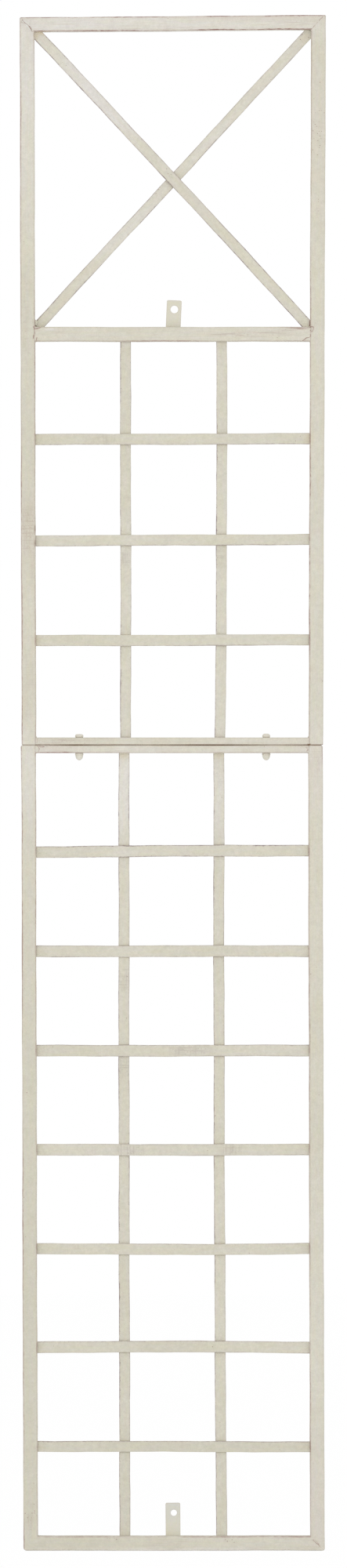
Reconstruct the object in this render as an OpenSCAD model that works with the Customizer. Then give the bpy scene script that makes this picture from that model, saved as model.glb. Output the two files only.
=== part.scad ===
// Espalier frame for a wall: two welded panels of square tube and flat bar, one standing on the other,
// held together by two bolts with cap nuts. X runs across, Y from front to back, Z up, in millimetres.
// The origin is at the middle of the foot of the frame.

/* [Frame] */
// Width over both stiles
overall_width = 396; // [320:1:600]
// Height from the foot to the top rail
overall_height = 2000; // [1800:1:2300]
// Height of the lower panel, up to the joint
lower_panel_height = 1050; // [800:1:1150]
// Clear height of the braced bay under the top rail
top_bay_height = 386; // [250:1:450]
// Rounding of the panels' ground outer corners
panel_corner_radius = 2.5; // [1:0.1:5]

/* [Tube] */
// Side of the square tube
tube_side = 19; // [16:0.5:25]
// Wall of all tubes
tube_wall = 1.2; // [1:0.1:1.6]
// Rounding of the tubes' long edges
tube_edge_radius = 2; // [1.8:0.1:3]
// Height of the flat tubes that meet at the joint
meeting_rail_height = 10.5; // [9:0.5:14]
// Thickness of the plates that close the stiles at the joint
end_plate_thickness = 2; // [1:0.5:4]

/* [Flat bars] */
// Width of slats, uprights and braces
bar_width = 15; // [10:0.5:25]
// Thickness of slats, uprights and braces
bar_thickness = 3; // [2:0.5:4]
// How far the lower slats sit below an even spacing
lower_slat_drop = 5.5; // [0:0.5:20]

/* [Upper lug] */
// Height above the brace rail
upper_lug_height = 35; // [30:0.5:60]
// Hole in the upper lug
upper_lug_hole = 10; // [5:0.5:12]
// Height of the hole's centre above the brace rail
upper_lug_hole_height = 23.2; // [15:0.1:23.5]
// Lean of the lug to the right, in degrees
upper_lug_lean = 2.5; // [0:0.5:5]

/* [Lower lug] */
// Length of the lug above the bottom rail, measured along the bar
lower_lug_height = 42.5; // [40:0.5:70]
// Hole in the lower lug
lower_lug_hole = 8.5; // [5:0.5:12]
// Place of the hole's centre above the bottom rail, measured along the bar
lower_lug_hole_height = 29.4; // [24:0.1:32]
// Height of the bend above the bottom rail
lower_lug_bend_height = 14; // [8:0.5:16]
// Lean of the upper part towards the wall, in degrees
lower_lug_bend = 6; // [0:0.5:8]

/* [Both lugs] */
// Width of the lugs
lug_width = 20; // [16:0.5:40]
// Thickness of the lugs
lug_thickness = 3; // [2:0.5:3]
// Rounding of the lugs' upper corners
lug_corner_radius = 2; // [0.5:0.1:4]
// Distance of a lug's front from the middle of the tube's depth
lug_setback = 3; // [0:0.5:3]

/* [Bolts] */
// Distance of a bolt's middle from the stile beside it
bolt_inset = 57; // [20:1:100]
// Diameter of the shank
bolt_diameter = 6; // [4:0.5:6]
// Play of the shank in the rails' holes, on the diameter
bolt_hole_play = 0.6; // [0.4:0.1:1.5]
// Length of the shank inside the cap nut
bolt_engagement = 4; // [3:0.5:5]
// Diameter of the head
bolt_head_diameter = 11.2; // [10:0.1:14]
// Height of the head
bolt_head_height = 5; // [4:0.1:6]
// Diameter of the flat on top of the head
bolt_head_flat = 6; // [4:0.5:8]
// Height of the head's straight rim
bolt_head_rim = 1.4; // [0.8:0.1:2]
// Width of the slot in the head
bolt_slot_width = 1.6; // [1:0.1:2]
// Depth of the slot in the head
bolt_slot_depth = 2; // [1:0.1:2.5]
// Bevel on the tip of the shank
bolt_tip_bevel = 0.6; // [0.3:0.1:1]

/* [Cap nuts] */
// Width across the flats
nut_across_flats = 10; // [9:0.1:13]
// Height of the hexagon
nut_hex_height = 4.5; // [4:0.1:7]
// Radius of the dome
nut_dome_radius = 4.9; // [4.3:0.1:5]
// Play of the shank in the nut, on the diameter
nut_bore_play = 0.2; // [0.1:0.1:0.4]
// Room under the tip of the shank in the nut's blind bore
nut_bore_room = 2; // [1:0.1:2.5]

/* [Welds] */
// Leg of the fillets behind bars and lugs
weld_leg = 1.5; // [0.5:0.1:1.5]
// Length of the fillets behind the bars
weld_length = 8; // [4:0.5:9]

/* [Hidden] */
$fn = 48;
upper_slat_count = 3;
lower_slat_count = 7;
upright_count = 2;
cut_margin = 5;
paint = "#d6d1c2";

// Half widths outside and between the stiles
outer_x = overall_width / 2;
inner_x = outer_x - tube_side;

// Heights of the main edges
joint_z = lower_panel_height;
foot_top_z = tube_side;
lower_meeting_z = joint_z - meeting_rail_height;
upper_meeting_z = joint_z + meeting_rail_height;
top_bay_top_z = overall_height - tube_side;
brace_rail_top_z = top_bay_top_z - top_bay_height;
brace_rail_z = brace_rail_top_z - tube_side;

// Even spacing: clear gap between bars that share a length
function even_gap(length, count) = (length - count * bar_width) / (count + 1);

// Even spacing: distance from the start to the middle of a bar
function even_place(length, count, i) = i * (even_gap(length, count) + bar_width) - bar_width / 2;

function upper_slat_z(i) = upper_meeting_z + even_place(brace_rail_z - upper_meeting_z, upper_slat_count, i);
function lower_slat_z(i) =
    foot_top_z + even_place(lower_meeting_z - foot_top_z, lower_slat_count, i) - lower_slat_drop;

upright_x = even_place(2 * inner_x, upright_count, upright_count) - inner_x;
brace_angle = atan2(top_bay_height, 2 * inner_x);
brace_length = norm([top_bay_height, 2 * inner_x]) + 2 * bar_width;
brace_centre_z = (top_bay_top_z + brace_rail_top_z) / 2;
bolt_x = inner_x - bolt_inset;
bolt_length = 2 * meeting_rail_height + bolt_engagement;
nut_bore_depth = bolt_engagement + nut_bore_room;

// Rectangle with rounded corners, about its middle
module rounded_rectangle(width, height, radius) {
    square([width - 2 * radius, height], center = true);
    square([width, height - 2 * radius], center = true);
    for (sx = [-1, 1], sy = [-1, 1])
        translate([sx * (width / 2 - radius), sy * (height / 2 - radius)]) circle(radius);
}

// Cross-section of a tube
module tube_section(width, height) {
    difference() {
        rounded_rectangle(width, height, tube_edge_radius);
        rounded_rectangle(width - 2 * tube_wall, height - 2 * tube_wall, tube_edge_radius - tube_wall);
    }
}

// A shape drawn in X and Z, given its depth from front to back about the middle of the tube
module seen_from_front(depth) {
    rotate([90, 0, 0]) linear_extrude(depth, center = true) children();
}

// Tube that runs across, about its middle
module tube_across(length, height) {
    rotate([90, 0, 90]) linear_extrude(length, center = true) tube_section(tube_side, height);
}

// Tube that stands, from one height to another, along the left edge of the frame
module tube_upright(low, high) {
    translate([-inner_x - tube_side / 2, 0, low])
        linear_extrude(high - low) tube_section(tube_side, tube_side);
}

// Outline of a panel with its outer corners ground round
module panel_outline(low, high) {
    translate([0, (low + high) / 2])
        rounded_rectangle(overall_width, high - low, panel_corner_radius);
}

// Keeps what lies inside a panel's outline and inside a mitred face
module fitted(low, high, face) {
    intersection() {
        children();
        seen_from_front(tube_side + cut_margin) intersection() {
            panel_outline(low, high);
            polygon(face);
        }
    }
}

// Left stile of the upper panel: mitred at the top, square above its end plate
module upper_stile() {
    low = joint_z + end_plate_thickness;
    face = [[-outer_x, low], [-inner_x, low], [-inner_x, top_bay_top_z], [-outer_x, overall_height]];
    color(paint) fitted(joint_z, overall_height, face) tube_upright(low, overall_height);
}

// Left stile of the lower panel: mitred at the bottom, square under its end plate
module lower_stile() {
    high = joint_z - end_plate_thickness;
    face = [[-outer_x, 0], [-inner_x, foot_top_z], [-inner_x, high], [-outer_x, high]];
    color(paint) fitted(0, joint_z, face) tube_upright(0, high);
}

// Plate that closes the left stile, from one height upwards
module end_plate(low, panel_low, panel_high) {
    color(paint) intersection() {
        translate([-inner_x - tube_side / 2, 0, low])
            linear_extrude(end_plate_thickness) rounded_rectangle(tube_side, tube_side, tube_edge_radius);
        seen_from_front(tube_side + cut_margin) panel_outline(panel_low, panel_high);
    }
}

module top_rail() {
    face = [
        [-outer_x, overall_height], [outer_x, overall_height],
        [inner_x, top_bay_top_z], [-inner_x, top_bay_top_z]
    ];
    color(paint) fitted(joint_z, overall_height, face)
        translate([0, 0, overall_height - tube_side / 2]) tube_across(overall_width, tube_side);
}

module bottom_rail() {
    face = [[-outer_x, 0], [outer_x, 0], [inner_x, foot_top_z], [-inner_x, foot_top_z]];
    color(paint) fitted(0, joint_z, face)
        translate([0, 0, tube_side / 2]) tube_across(overall_width, tube_side);
}

module brace_rail() {
    color(paint) translate([0, 0, brace_rail_z + tube_side / 2]) tube_across(2 * inner_x, tube_side);
}

// Flat tube between the stiles, drilled for both bolts
module meeting_rail(low) {
    color(paint) difference() {
        translate([0, 0, low + meeting_rail_height / 2]) tube_across(2 * inner_x, meeting_rail_height);
        for (side = [-1, 1])
            translate([side * bolt_x, 0, low - cut_margin])
                cylinder(d = bolt_diameter + bolt_hole_play, h = meeting_rail_height + 2 * cut_margin);
    }
}

// Slat between the stiles, in front of the uprights
module slat(z) {
    color(paint) translate([-inner_x, -bar_thickness, z - bar_width / 2])
        cube([2 * inner_x, bar_thickness, bar_width]);
}

// Left upright between two rails, behind the slats
module upright(low, high) {
    color(paint) translate([-upright_x - bar_width / 2, 0, low])
        cube([bar_width, bar_thickness, high - low]);
}

// Diagonal bar of the top bay, cut to a point in the bay's corners
module brace(angle, front_y) {
    color(paint) intersection() {
        translate([0, front_y + bar_thickness / 2, brace_centre_z])
            rotate([0, angle, 0]) cube([brace_length, bar_thickness, bar_width], center = true);
        translate([0, 0, brace_centre_z])
            cube([2 * inner_x, tube_side, top_bay_height], center = true);
    }
}

// Face of a lug above its foot, with a hole, and with a root below the foot to be cut or joined
module lug_face(height, hole_height, hole, root) {
    difference() {
        union() {
            translate([-lug_width / 2, -root]) square([lug_width, height - lug_corner_radius + root]);
            translate([lug_corner_radius - lug_width / 2, -root])
                square([lug_width - 2 * lug_corner_radius, height + root]);
            for (side = [-1, 1])
                translate([side * (lug_width / 2 - lug_corner_radius), height - lug_corner_radius])
                    circle(lug_corner_radius);
        }
        translate([0, hole_height]) circle(d = hole);
    }
}

// Straight lug on the brace rail
module upper_lug() {
    color(paint) difference() {
        translate([0, lug_setback + lug_thickness / 2, brace_rail_top_z])
            rotate([0, upper_lug_lean, 0]) seen_from_front(lug_thickness)
                lug_face(upper_lug_height, upper_lug_hole_height, upper_lug_hole, cut_margin);
        translate([-lug_width, 0, brace_rail_z]) cube([2 * lug_width, tube_side, tube_side]);
    }
}

// Lug on the bottom rail: a straight foot, and a drilled upper part that leans back from the bend
module lower_lug() {
    color(paint) translate([0, lug_setback, foot_top_z]) {
        translate([-lug_width / 2, 0, 0]) cube([lug_width, lug_thickness, lower_lug_bend_height]);
        translate([0, 0, lower_lug_bend_height]) rotate([-lower_lug_bend, 0, 0])
            translate([0, lug_thickness / 2, 0]) seen_from_front(lug_thickness)
                lug_face(
                    lower_lug_height - lower_lug_bend_height,
                    lower_lug_hole_height - lower_lug_bend_height,
                    lower_lug_hole, 0
                );
    }
}

// Fillet along Z, in the corner between a bar's back, at Y zero, and a wall to its right, at X zero
module fillet(length) {
    linear_extrude(length, center = true) polygon([[0, 0], [0, weld_leg], [-weld_leg, 0]]);
}

// Fillet along X, under a wall at Z zero
module fillet_under(length) {
    rotate([0, -90, 0]) fillet(length);
}

// Fillet behind a lug's foot, on a rail's top
module lug_weld(rail_top) {
    color(paint) translate([0, lug_setback + lug_thickness, rail_top])
        mirror([0, 0, 1]) fillet_under(lug_width);
}

// Fillets at both ends of a slat
module slat_welds(z) {
    for (side = [0, 1])
        mirror([side, 0, 0]) translate([inner_x, 0, z]) fillet(weld_length);
}

// Fillets at both ends of both uprights
module upright_welds(low, high) {
    for (side = [-1, 1]) {
        translate([side * upright_x, bar_thickness, high]) fillet_under(weld_length);
        translate([side * upright_x, bar_thickness, low]) mirror([0, 0, 1]) fillet_under(weld_length);
    }
}

// Fillets at both ends of a brace, along the rails, with a gap of one leg to the stiles
module brace_welds(lean, back_y) {
    weld_x = inner_x - weld_leg - weld_length / 2;
    translate([-lean * weld_x, back_y, top_bay_top_z]) fillet_under(weld_length);
    translate([lean * weld_x, back_y, brace_rail_top_z]) mirror([0, 0, 1]) fillet_under(weld_length);
}

module upper_bar_welds() {
    color(paint) {
        for (i = [1:upper_slat_count]) slat_welds(upper_slat_z(i));
        upright_welds(upper_meeting_z, brace_rail_z);
        brace_welds(1, 0);
        brace_welds(-1, bar_thickness);
    }
}

module lower_bar_welds() {
    color(paint) {
        for (i = [1:lower_slat_count]) slat_welds(lower_slat_z(i));
        upright_welds(foot_top_z, lower_meeting_z);
    }
}

// Outline of half the bolt's head: a straight rim, an arc and a flat top
module head_profile() {
    arc_width = (bolt_head_diameter - bolt_head_flat) / 2;
    arc_height = bolt_head_height - bolt_head_rim;
    arc_steps = 8;
    polygon(concat(
        [[0, 0], [bolt_head_diameter / 2, 0]],
        [for (i = [0:arc_steps]) [
            bolt_head_flat / 2 + arc_width * cos(90 * i / arc_steps),
            bolt_head_rim + arc_height * sin(90 * i / arc_steps)
        ]],
        [[0, bolt_head_height]]
    ));
}

// Bolt with its head on the upper meeting rail and its shank in the nut
module bolt(x) {
    color(paint) translate([x, 0, upper_meeting_z]) {
        difference() {
            rotate_extrude() head_profile();
            translate([-bolt_head_diameter, -bolt_slot_width / 2, bolt_head_height - bolt_slot_depth])
                cube([2 * bolt_head_diameter, bolt_slot_width, bolt_head_height]);
        }
        translate([0, 0, bolt_tip_bevel - bolt_length])
            cylinder(d = bolt_diameter, h = bolt_length - bolt_tip_bevel);
        translate([0, 0, -bolt_length])
            cylinder(d1 = bolt_diameter - 2 * bolt_tip_bevel, d2 = bolt_diameter, h = bolt_tip_bevel);
    }
}

// Domed nut under the lower meeting rail, with a blind bore
module cap_nut(x) {
    color(paint) translate([x, 0, lower_meeting_z]) difference() {
        union() {
            translate([0, 0, -nut_hex_height])
                cylinder(d = nut_across_flats / cos(30), h = nut_hex_height, $fn = 6);
            translate([0, 0, -nut_hex_height]) sphere(nut_dome_radius);
        }
        translate([0, 0, -nut_bore_depth])
            cylinder(d = bolt_diameter + nut_bore_play, h = nut_bore_depth + cut_margin);
        translate([0, 0, nut_dome_radius]) cube(2 * nut_dome_radius, center = true);
    }
}

upper_stile();  // upper_left_stile
mirror([1, 0, 0]) upper_stile();  // upper_right_stile
top_rail();
brace_rail();
meeting_rail(joint_z);  // upper_meeting_rail
end_plate(joint_z, joint_z, overall_height);  // upper_left_end_plate
mirror([1, 0, 0]) end_plate(joint_z, joint_z, overall_height);  // upper_right_end_plate
brace(brace_angle, -bar_thickness);  // front_brace
brace(-brace_angle, 0);  // rear_brace
upright(upper_meeting_z, brace_rail_z);  // upper_left_upright
mirror([1, 0, 0]) upright(upper_meeting_z, brace_rail_z);  // upper_right_upright
for (i = [1:upper_slat_count])
    slat(upper_slat_z(i));
upper_lug();
lug_weld(brace_rail_top_z);  // upper_lug_weld
upper_bar_welds();

lower_stile();  // lower_left_stile
mirror([1, 0, 0]) lower_stile();  // lower_right_stile
bottom_rail();
meeting_rail(lower_meeting_z);  // lower_meeting_rail
end_plate(joint_z - end_plate_thickness, 0, joint_z);  // lower_left_end_plate
mirror([1, 0, 0]) end_plate(joint_z - end_plate_thickness, 0, joint_z);  // lower_right_end_plate
upright(foot_top_z, lower_meeting_z);  // lower_left_upright
mirror([1, 0, 0]) upright(foot_top_z, lower_meeting_z);  // lower_right_upright
for (i = [1:lower_slat_count])
    slat(lower_slat_z(i));
lower_lug();
lug_weld(foot_top_z);  // lower_lug_weld
lower_bar_welds();

bolt(-bolt_x);  // left_bolt
bolt(bolt_x);  // right_bolt
cap_nut(-bolt_x);  // left_cap_nut
cap_nut(bolt_x);  // right_cap_nut
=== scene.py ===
import math
import bmesh
import bpy
import numpy as np
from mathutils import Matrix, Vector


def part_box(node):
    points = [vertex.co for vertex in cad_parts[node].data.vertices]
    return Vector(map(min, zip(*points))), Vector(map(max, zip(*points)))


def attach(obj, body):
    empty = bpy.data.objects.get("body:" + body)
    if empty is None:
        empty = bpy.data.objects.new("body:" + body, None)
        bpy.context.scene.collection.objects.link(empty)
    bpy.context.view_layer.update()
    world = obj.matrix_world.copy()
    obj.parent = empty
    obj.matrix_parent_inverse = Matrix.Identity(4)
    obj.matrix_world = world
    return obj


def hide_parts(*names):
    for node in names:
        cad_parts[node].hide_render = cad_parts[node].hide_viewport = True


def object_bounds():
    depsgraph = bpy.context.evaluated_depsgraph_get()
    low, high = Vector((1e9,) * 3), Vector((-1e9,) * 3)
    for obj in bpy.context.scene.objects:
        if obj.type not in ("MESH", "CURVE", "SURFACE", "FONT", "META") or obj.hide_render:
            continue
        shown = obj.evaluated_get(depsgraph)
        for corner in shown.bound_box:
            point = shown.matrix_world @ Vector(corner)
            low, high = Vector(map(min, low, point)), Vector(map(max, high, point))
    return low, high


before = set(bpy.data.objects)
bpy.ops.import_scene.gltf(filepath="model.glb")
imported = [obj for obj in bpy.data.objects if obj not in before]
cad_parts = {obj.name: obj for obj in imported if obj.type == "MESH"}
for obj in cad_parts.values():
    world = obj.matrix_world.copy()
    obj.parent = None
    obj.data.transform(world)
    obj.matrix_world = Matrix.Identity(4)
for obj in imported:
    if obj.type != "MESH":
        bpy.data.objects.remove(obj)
cadLow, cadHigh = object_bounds()
scene = bpy.context.scene
scene.view_settings.view_transform = "Standard"
print("frame loaded,", len(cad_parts), "nodes")

mm = 0.001

# Camera: straight in front and far away, so the tall frame keeps its parallel lines
shot = {
    "distance": 14.0,  # from the middle of the tubes' depth
    "pictureHeight": 2.0434,  # what the picture's height covers at the tubes' front
    "aimX": 1.0 * mm,
    "aimZ": 999.2 * mm,
    "sensor": 36.0,
    "farthest": 200.0,
}
cameraData = bpy.data.cameras.new("front_camera")
cameraData.sensor_width = shot["sensor"]
cameraData.lens = shot["sensor"] * (shot["distance"] + cadLow.y) / shot["pictureHeight"]
cameraData.clip_end = shot["farthest"]
camera = bpy.data.objects.new("front_camera", cameraData)
camera.location = (shot["aimX"], -shot["distance"], shot["aimZ"])
camera.rotation_euler = (math.pi / 2, 0, 0)
scene.collection.objects.link(camera)
scene.camera = camera
print("camera placed")


def emptyTree(owner):  # the owner's shader nodes, switched on and cleared
    owner.use_nodes = True
    owner.node_tree.nodes.clear()
    return owner.node_tree


def addNode(tree, kind, inputs=None, **settings):  # new shader node; inputs are numbers, colours or sockets
    node = tree.nodes.new("ShaderNode" + kind)
    for key, value in settings.items():
        setattr(node, key, value)
    for key, value in (inputs or {}).items():
        if isinstance(value, bpy.types.NodeSocket):
            tree.links.new(value, node.inputs[key])
        else:
            node.inputs[key].default_value = value
    return node


# Studio: even light all round, one large soft lamp in front and above, white floor
studio = {
    "roomLight": 0.872,
    "lampPower": 36.0,
    "lampSize": (3.4, 2.6),
    "lampPlace": (-0.2, -4.8, 1.6),
    "lampAim": (0.0, 0.0, 1.0),
    "floorHalf": 7.0,
    "floorColour": (0.93, 0.93, 0.93, 1),
    "floorWhite": 0.98,  # share of plain white that the camera sees on the floor
}
white = {"Color": (1, 1, 1, 1), "Strength": 1.0}


def litToCamera(tree):  # 1 for camera, glossy and transmission rays
    rays = addNode(tree, "LightPath").outputs
    lit = rays["Is Camera Ray"]
    for other in ("Is Glossy Ray", "Is Transmission Ray"):
        lit = addNode(tree, "Math", {0: lit, 1: rays[other]}, operation="MAXIMUM").outputs[0]
    return lit


def makeStudio(look):
    scene.world = bpy.data.worlds.new("white_room")
    tree = emptyTree(scene.world)
    room = addNode(tree, "Background", {**white, "Strength": look["roomLight"]})
    seen = addNode(tree, "Background", white)
    mix = addNode(tree, "MixShader", {0: litToCamera(tree), 1: room.outputs[0], 2: seen.outputs[0]})
    addNode(tree, "OutputWorld", {"Surface": mix.outputs[0]})

    lamp = bpy.data.lights.new("soft_lamp", "AREA")
    lamp.shape = "RECTANGLE"
    lamp.size, lamp.size_y = look["lampSize"]
    lamp.energy = look["lampPower"]
    lampObject = bpy.data.objects.new("soft_lamp", lamp)
    turn = np.array(look["lampAim"]) - look["lampPlace"]
    lampObject.location = look["lampPlace"]
    lampObject.rotation_euler = (math.atan2(math.hypot(turn[0], turn[1]), -turn[2]), 0, math.atan2(-turn[0], turn[1]))
    scene.collection.objects.link(lampObject)

    half = look["floorHalf"]
    floorMesh = bpy.data.meshes.new("floor")
    floorMesh.from_pydata([(-half, -half, 0), (half, -half, 0), (half, half, 0), (-half, half, 0)], [], [(0, 1, 2, 3)])
    floor = bpy.data.objects.new("floor", floorMesh)
    scene.collection.objects.link(floor)
    floorPaint = bpy.data.materials.new("floor_white")
    tree = emptyTree(floorPaint)
    matt = addNode(tree, "BsdfDiffuse", {"Color": look["floorColour"]})
    plain = addNode(tree, "Emission", white)
    share = addNode(tree, "Math", {0: litToCamera(tree), 1: look["floorWhite"]}, operation="MULTIPLY")
    mix = addNode(tree, "MixShader", {0: share.outputs[0], 1: matt.outputs[0], 2: plain.outputs[0]})
    addNode(tree, "OutputMaterial", {"Surface": mix.outputs[0]})
    floorMesh.materials.append(floorPaint)


makeStudio(studio)
print("studio lit")

# Antique cream paint, brushed over a reddish brown undercoat and rubbed through at the edges.
# Distances to edges and ends are in millimetres, read from the "wear" map; the "surface" map is in metres.
creamPaint = {
    "cream": (0.660, 0.633, 0.533),
    "creamWarm": (0.636, 0.609, 0.504),
    # paler cream, for painted light
    "creamLit": (0.742, 0.718, 0.662),
    "creamGrey": (0.606, 0.585, 0.482),
    "creamCool": (0.715, 0.688, 0.668),
    "ochre": (0.640, 0.560, 0.390),
    "streakTone": (0.600, 0.560, 0.476),
    "blush": (0.600, 0.505, 0.455),
    "undercoat": (0.300, 0.168, 0.146),
    "dot": (0.330, 0.225, 0.185),
    # colour of the joint's dirt and of painted shade
    "dark": (0.185, 0.100, 0.045),
    "rosy": (1.022, 0.986, 0.996),  # the paint's two casts, as factors of its colour
    "greenish": (0.980, 1.010, 0.984),
    "bluish": (0.999, 1.000, 1.040),
    "yellowish": (1.001, 1.000, 0.960),
    "fleck": 0.52,  # strength of the light and dark flecks
    "hatch": 0.12,  # strength of the faint file marks across the piece
    "rubAlong": 0.30,  # strength of the strokes in rubbed places, along and across the piece
    "rubAcross": 0.30,
    "halo": 0.34,  # strength of the pinkish border along edges
    "haloWidth": 2.6,
    "line": 0.66,  # strength of the rubbed line on the edges
    "lineWidth": 1.15,
    "chips": 0.55,  # strength of the dark specks beside the edges
    "seam": 0.30,  # strength of the dark line at the ends
    "streaks": 0.36,
    "blotches": 0.18,
    "rubGrain": 0.56,  # strength of the grain in rubbed places, and of the pinkish tone around it
    "rubHalo": 0.12,
    "dots": 0.0025,  # share of cells with a dark dot, and the gain in speckled places
    "moreDots": 0.42,
    "dotCells": (330, 330, 1),  # cells to a metre
    "dotSize": (0.13, 0.10),  # in cells: what chance adds, and the least
    "dotStrength": 0.85,
    "roughness": 0.52,
    "shine": 0.35,
    "bump": 0.45,
    "bumpHeight": 0.08 * mm,
}
railPaint = {**creamPaint, "streaks": 0.70, "hatch": 0.03, "rubAlong": 0.62, "rubAcross": 0.08}
barPaint = {**creamPaint, "lineWidth": 0.75, "halo": 0.30, "line": 0.60, "streaks": 0.28, "seam": 0.26, "hatch": 0.08,
            "undercoat": (0.232, 0.165, 0.172), "blush": (0.565, 0.505, 0.455)}
# the lugs' lit cream lifts the lower lug's foot out of the rail's shade
lugPaint = {**creamPaint, "line": 0.10, "halo": 0.10, "chips": 0.0, "seam": 0.25, "streaks": 0.10, "fleck": 0.12,
            "hatch": 0.03, "dots": 0.0, "cream": (0.690, 0.668, 0.566), "creamWarm": (0.668, 0.640, 0.532),
            "creamLit": (0.765, 0.740, 0.640), "creamCool": (0.662, 0.656, 0.594)}
weldPaint = {**creamPaint, "line": 0.85, "halo": 0.40, "chips": 0.3, "seam": 0.1, "streaks": 0.1, "lineWidth": 0.85,
             "haloWidth": 1.6}
# painted light: the fasteners carry the frame's paint, and this paler cream lifts their rounded heads and domes, whose
# sides get less light
fastenerPaint = {**creamPaint, "line": 0.30, "halo": 0.26, "lineWidth": 0.45, "haloWidth": 1.0, "chips": 0.0,
                 "seam": 0.0, "streaks": 0.12, "dots": 0.0, "hatch": 0.0, "cream": (0.740, 0.712, 0.620),
                 "creamWarm": (0.720, 0.690, 0.590)}
paintNoise = {
    # the map it lies on, scale along and round the piece or in space, shift, detail, roughness
    "streak": ("surface", (24, 760, 1), 0.0, 4.0, 0.62),
    "cloud": ("place", (7, 7, 7), 1.0, 3.0, 0.55),
    "blotch": ("place", (42, 42, 42), 2.0, 4.0, 0.55),
    "breaks": ("surface", (150, 420, 1), 3.0, 3.0, 0.60),
    "spell": ("surface", (11, 70, 1), 4.0, 2.0, 0.55),
    "grain": ("surface", (560, 620, 1), 5.0, 2.0, 0.55),
    "along": ("surface", (32, 620, 1), 6.0, 2.0, 0.55),
    "across": ("surface", (520, 18, 1), 7.0, 2.0, 0.55),
    "fleck": ("place", (190, 190, 190), 9.0, 4.0, 0.95),
    "tinge": ("surface", (50, 240, 1), 10.0, 5.0, 0.88),
    "cold": ("surface", (28, 150, 1), 11.0, 4.0, 0.80),
}
paintBands = {
    # a mark shows where its noise rises from the first value to the second
    "clouds": ("cloud", 0.38, 0.64), "tinges": ("tinge", 0.34, 0.66), "colds": ("cold", 0.34, 0.66),
    "streaks": ("streak", 0.49, 0.72), "hatch": ("across", 0.50, 0.76), "blotches": ("blotch", 0.52, 0.76),
    "chips": ("grain", 0.57, 0.68), "rubAlong": ("along", 0.48, 0.72), "rubAcross": ("across", 0.46, 0.70),
    "rubGrain": ("grain", 0.57, 0.73),
}
raggedness = {
    # a distance gains this much of a noise, in millimetres, and what brings the gain's middle near nothing
    "edge": ("breaks", 3.0, -1.3), "run": ("spell", -3.0, 1.5), "end": ("breaks", 1.4, -0.7),
}
fades = {
    # a mark dies away between these distances; the last in dot sizes, the others in millimetres
    "line": (-0.2, 0.3), "chips": (0.2, 1.9), "seam": (0.1, 1.3), "seamHalo": (0.3, 4.0), "dot": (0.4, 1.5),
}
haloRagged = 0.4  # share of the ragged distance in the border's, the rest is the plain one
haloWorn = (0.7, 0.2)  # the border's gain with the edge's wear, and its least


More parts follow.
